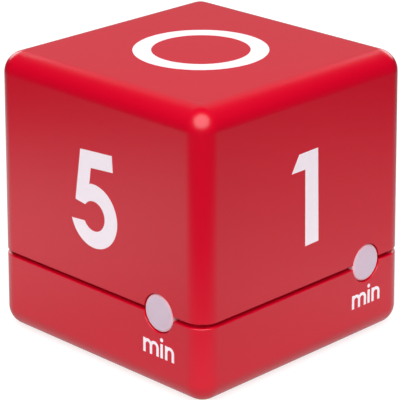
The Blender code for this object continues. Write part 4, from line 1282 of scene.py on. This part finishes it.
caseScrew = {"radius": 0.0011, "head": 0.0020, "rise": 0.0016, "long": 0.0140, "pitch": 0.0009}
boardScrew = {"radius": 0.0008, "head": 0.0015, "rise": 0.0012, "long": 0.0045, "pitch": 0.0006}
screwSet("caseScrews", [f"case_screw_{i}" for i in range(1, 5)], caseScrew, False)
screwSet("boardScrews", [f"board_screw_{i}" for i in range(1, 5)], boardScrew, True)
print("screws ready")


# cells and contacts

contactPlates = {
    "contact_bridge": "contactBridge",
    "contact_positive": "contactPositive",
    "contact_negative": "contactNegative",
}
for node, name in contactPlates.items():
    softened(node, name, 0.00008, nickel)

spring = {"wire": 0.00035, "turns": 3.5, "foot": 0.0030, "top": 0.0020}
cell = {
    "radius": 0.00525,
    "nub": 0.0019,
    "rise": 0.0010,  # of the nub
    "long": 0.0445,
    "band": 0.0115,  # of the pale band, from the shoulder
    "sleeve": 0.00012,
}


def contactSpring(number, nub):
    # a cone of wire that presses on a cell's flat end; nub is the way the cell points
    node = f"contact_spring_{number}"
    low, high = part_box(node)
    wire, middle = spring["wire"], middleOf(f"battery_cell_{number}")
    rise = high.x - low.x - 2 * wire
    made = woundWire(
        f"contactSpring_{number}", nickel, spring["turns"], spring["foot"], spring["top"], rise, wire, 40, 14
    )
    outer = low.x + wire if nub > 0 else high.x - wire
    turn = Vector((nub, 0, 0)).to_track_quat("Z", "Y").to_matrix().to_4x4()
    made.data.transform(Matrix.Translation((outer, middle.y, middle.z)) @ turn)
    place(shade(made, 60), nickel, node)


def batteryCell(number, nub):
    # a steel can in a two-coloured sleeve that folds over both shoulders
    node = f"battery_cell_{number}"
    low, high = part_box(node)
    middle = middleOf(node)
    shoulder = Vector(((high.x - cell["rise"]) if nub > 0 else (low.x + cell["rise"]), middle.y, middle.z))
    axis, foot, outer = Vector((nub, 0, 0)), cell["rise"] - cell["long"], cell["radius"]
    inner, join = outer - cell["sleeve"], -cell["band"] - 0.0006
    roundPiece(node, f"batteryCell_{number}", [
        (0, cell["rise"]), (cell["nub"], cell["rise"]), (cell["nub"], 0.0001), (inner - 0.0009, 0.0001),
        (inner - 0.0008, -0.0002), (inner, -0.0006), (inner, foot + 0.0004), (inner - 0.0004, foot),
        (0, foot),
    ], shoulder, axis, nickel, 0.0002, 96)
    inside = inner + 0.00001
    sleeves = {
        "Sleeve": (sleeveDark, [
            (inside, join), (outer, join), (outer, foot + 0.0004), (outer - 0.0003, foot),
            (outer - 0.0012, foot - 0.00004), (outer - 0.0012, foot + 0.0001),
            (inside - 0.0002, foot + 0.0004),
        ]),
        "Band": (sleeveBand, [
            (outer - 0.0012, 0.00012), (outer - 0.0010, 0.00030), (outer - 0.0004, 0.00012), (outer, -0.0004),
            (outer, join + 0.00005), (inside, join + 0.00005), (inside, -0.0006),
        ]),
    }
    for name, (material, profile) in sleeves.items():
        ring = roundedProfile(profile + profile[:1], 0.00006, 3)
        made = lathe(f"cell{name}_{number}", ring, shoulder, axis, 96)
        place(shade(made, 40), material, body="case", slot="cell_label")


for number, nub in ((1, 1), (2, -1)):
    contactSpring(number, nub)
    batteryCell(number, nub)
print("cells ready")


# buzzer

def buzzer():
    plates = {"buzzer_disc": ("buzzerDisc", brass), "buzzer_ceramic": ("buzzerCeramic", piezo)}
    for node, (name, material) in plates.items():
        low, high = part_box(node)
        radius = (high.x - low.x) / 2
        profile = [(0, high.z), (radius, high.z), (radius, low.z), (0, low.z)]
        roundPiece(node, name, profile, (0, 0, 0), (0, 0, 1), material, 0.00006, 128)
    wires = {"red": ("buzzer_ceramic", redPvc), "black": ("buzzer_disc", blackPvc)}
    foot, reach, beads = mainTop + 0.0003, 0.0008, []
    for colour, (under, material) in wires.items():
        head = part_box(under)[0].z - reach
        knots = [(x, y, foot + share * (head - foot)) for x, y, share in wireRoutes[colour]]
        wire = wireAlong("buzzerWire_" + colour, knots, 0.0005, 10, 16)
        place(shade(wire, 60), material, "buzzer_wire_" + colour)
        beads.append((knots[0][0], knots[0][1], head + reach))
    drop = [(0, 0), (0.0013, 0), (0.0010, -0.0004), (0.0004, -0.0006), (0, -0.00062)]
    bead = lathe("beadShape", drop, segments=32)
    made = setCopies("buzzerBeads", bead, beads, solder, 4, 6.0, 0.9)
    place(shade(made, 60), solder, body="case", slot="steel")


buzzer()
print("buzzer ready")


# studio

camera = {
    "target": (-0.000431, 0.0, 0.029261),
    "azimuth": 44.938,
    "elevation": 20.937,
    "roll": -0.209,
    "distance": 0.474409,
    "lens": 193.5,
}


def makeCamera():
    azimuth, elevation, roll = (math.radians(camera[k]) for k in ("azimuth", "elevation", "roll"))
    level = math.cos(elevation)
    back = Vector((math.sin(azimuth) * level, -math.cos(azimuth) * level, math.sin(elevation)))
    right = Vector((0, 0, 1)).cross(back).normalized()
    up = back.cross(right)
    right, up = right * math.cos(roll) + up * math.sin(roll), up * math.cos(roll) - right * math.sin(roll)
    data = bpy.data.cameras.new("studioCamera")
    data.lens = camera["lens"]
    data.sensor_width = 36
    data.clip_start = 0.01
    obj = newObject("studioCamera", data)
    turn = Matrix((right, up, back)).transposed().to_4x4()
    obj.matrix_world = Matrix.Translation(Vector(camera["target"]) + back * camera["distance"]) @ turn
    bpy.context.scene.camera = obj


def softLight(name, at, aim, size, power):
    data = bpy.data.lights.new(name, "AREA")
    data.shape = "DISK"
    data.size = size
    data.energy = power
    obj = newObject(name, data)
    direction = Vector(aim) - Vector(at)
    obj.matrix_world = Matrix.Translation(at) @ direction.to_track_quat("-Z", "Y").to_matrix().to_4x4()
    return obj


studio = {
    "middle": (0, 0, 0.03),
    "backdrop": 0.34,  # brightness of the paper behind the object
    "behind": (-0.66, 0.66, 0.358),  # the way to that paper
    "spread": (0.80, 0.92),  # nearness to that way, as a cosine, at which it starts and is full
    "gloom": 0.012,  # brightness of the rest of the room, as the object meets it
    "paper": 0.97,  # brightness of the room as the camera sees it
    "table": 0.77,  # glow of the light table
    "shares": {  # of that glow, as the object meets it: direction to (place, share) along it
        (0.7071, 0.7071, 0): (
            (-0.20, 0.04), (-0.13, 1.0), (-0.085, 0.92), (-0.045, 0.62), (0.035, 0.62), (0.070, 0.82),
            (0.11, 0.58), (0.15, 0.52), (0.21, 0.04),
        ),
        (0.7071, -0.7071, 0): ((-0.40, 1.0), (0.055, 1.0), (0.12, 0.04)),
    },
    "far": (0.15, 0.70, 1.26),  # as the camera sees it, the table brightens between these, by this much
    "lights": {  # place, size, power; none of them stands where an edge would mirror it to the camera
        "softBox": ((0.36, -0.36, 0.62), 1.05, 12.6),
        "leftRear": ((-0.90, 0.25, 0.38), 0.50, 2.0),
        "rightRear": ((-0.25, 0.90, 0.38), 0.50, 2.0),
        "underFill": ((0.20, -0.40, -0.60), 0.50, 6.0),
    },
}


def mathNode(tree, operation, links, settings=None):
    return addNode(tree, "ShaderNodeMath", {"operation": operation, **(settings or {})}, links)


def glowShare(tree, where, axis, stops):
    # the share of the glow along one direction
    product = {"operation": "DOT_PRODUCT", 1: axis}
    across = addNode(tree, "ShaderNodeVectorMath", product, {0: (where, "Object")})
    span = {"From Min": -0.5, "From Max": 0.5}
    share = addNode(tree, "ShaderNodeMapRange", span, {"Value": (across, "Value")})
    ramp = addNode(tree, "ShaderNodeValToRGB", {}, {"Fac": (share, "Result")})
    for k, (at, level) in enumerate(stops):
        stop = ramp.color_ramp.elements[k] if k < 2 else ramp.color_ramp.elements.new(at + 0.5)
        stop.position = at + 0.5
        stop.color = (level, level, level, 1)
    return ramp


def litFloor():
    # a light table of opal glass: dimmer under the object and to the right, dark in front and at its ends
    glass = surface("litFloor", "989898", "9C9C9C", 0.3, (0.75, 0.85), Specular_IOR_Level=0.1)
    tree = glass.node_tree
    shader = tree.nodes["Principled BSDF"]
    where = addNode(tree, "ShaderNodeTexCoord")
    ramps = [glowShare(tree, where, axis, stops) for axis, stops in studio["shares"].items()]
    product = mathNode(tree, "MULTIPLY", {i: (ramp, "Color") for i, ramp in enumerate(ramps)})
    # the camera sees the table evenly pale
    ray = addNode(tree, "ShaderNodeLightPath")
    away = addNode(tree, "ShaderNodeVectorMath", {"operation": "LENGTH"}, {0: (where, "Object")})
    near, far, most = studio["far"]
    span = {"From Min": near, "From Max": far, "To Min": 1.0, "To Max": most}
    reach = addNode(tree, "ShaderNodeMapRange", span, {"Value": (away, "Value")})
    shown = mathNode(tree, "MULTIPLY", {0: (ray, "Is Camera Ray"), 1: (reach, "Result")})
    both = mathNode(tree, "MAXIMUM", {0: (product, "Value"), 1: (shown, "Value")})
    glow = mathNode(tree, "MULTIPLY", {0: (both, "Value")}, {1: studio["table"]})
    tree.links.new(glow.outputs["Value"], shader.inputs["Emission Strength"])
    shader.inputs["Emission Color"].default_value = (1, 1, 1, 1)
    grey = shader.inputs["Base Color"].links[0].from_socket
    tone = addNode(tree, "ShaderNodeVectorMath", {"operation": "SCALE"}, {"Scale": (both, "Value")})
    tree.links.new(grey, tone.inputs[0])
    tree.links.new(tone.outputs["Vector"], shader.inputs["Base Color"])
    # seen from underneath the table is clear, so that the base can be looked at
    side = addNode(tree, "ShaderNodeNewGeometry")
    clear = addNode(tree, "ShaderNodeBsdfTransparent")
    either = addNode(
        tree, "ShaderNodeMixShader", {}, {0: (side, "Backfacing"), 1: (shader, "BSDF"), 2: (clear, "BSDF")}
    )
    tree.links.new(either.outputs["Shader"], tree.nodes["Material Output"].inputs["Surface"])
    return glass


def makeAir():
    # a dark room with a pale paper behind the object; the camera sees all of it pale
    world = bpy.data.worlds.new("studioAir")
    bpy.context.scene.world = world
    world.use_nodes = True
    tree = world.node_tree
    sky = tree.nodes["Background"]
    where = addNode(tree, "ShaderNodeTexCoord")
    product = {"operation": "DOT_PRODUCT", 1: studio["behind"]}
    behind = addNode(tree, "ShaderNodeVectorMath", product, {0: (where, "Generated")})
    start, full = studio["spread"]
    span = {"From Min": start, "From Max": full, "To Min": studio["gloom"], "To Max": studio["backdrop"]}
    fall = addNode(tree, "ShaderNodeMapRange", span, {"Value": (behind, "Value")})
    ray = addNode(tree, "ShaderNodeLightPath")
    seen = mathNode(tree, "MULTIPLY", {0: (ray, "Is Camera Ray")}, {1: studio["paper"]})
    most = mathNode(tree, "MAXIMUM", {0: (fall, "Result"), 1: (seen, "Value")})
    tree.links.new(most.outputs["Value"], sky.inputs["Strength"])
    sky.inputs["Color"].default_value = (1, 1, 1, 1)


def makeStudio():
    shape = bmesh.new()
    low = Matrix.Translation((0, 0, -0.0002))
    bmesh.ops.create_grid(shape, x_segments=1, y_segments=1, size=3, matrix=low)
    floor = fromShape("floor", shape)
    floor.data.materials.append(litFloor())
    for name, (at, size, power) in studio["lights"].items():
        softLight(name, at, studio["middle"], size, power)
    makeAir()
    bpy.context.scene.view_settings.view_transform = "Standard"


makeCamera()
makeStudio()
print("studio ready")
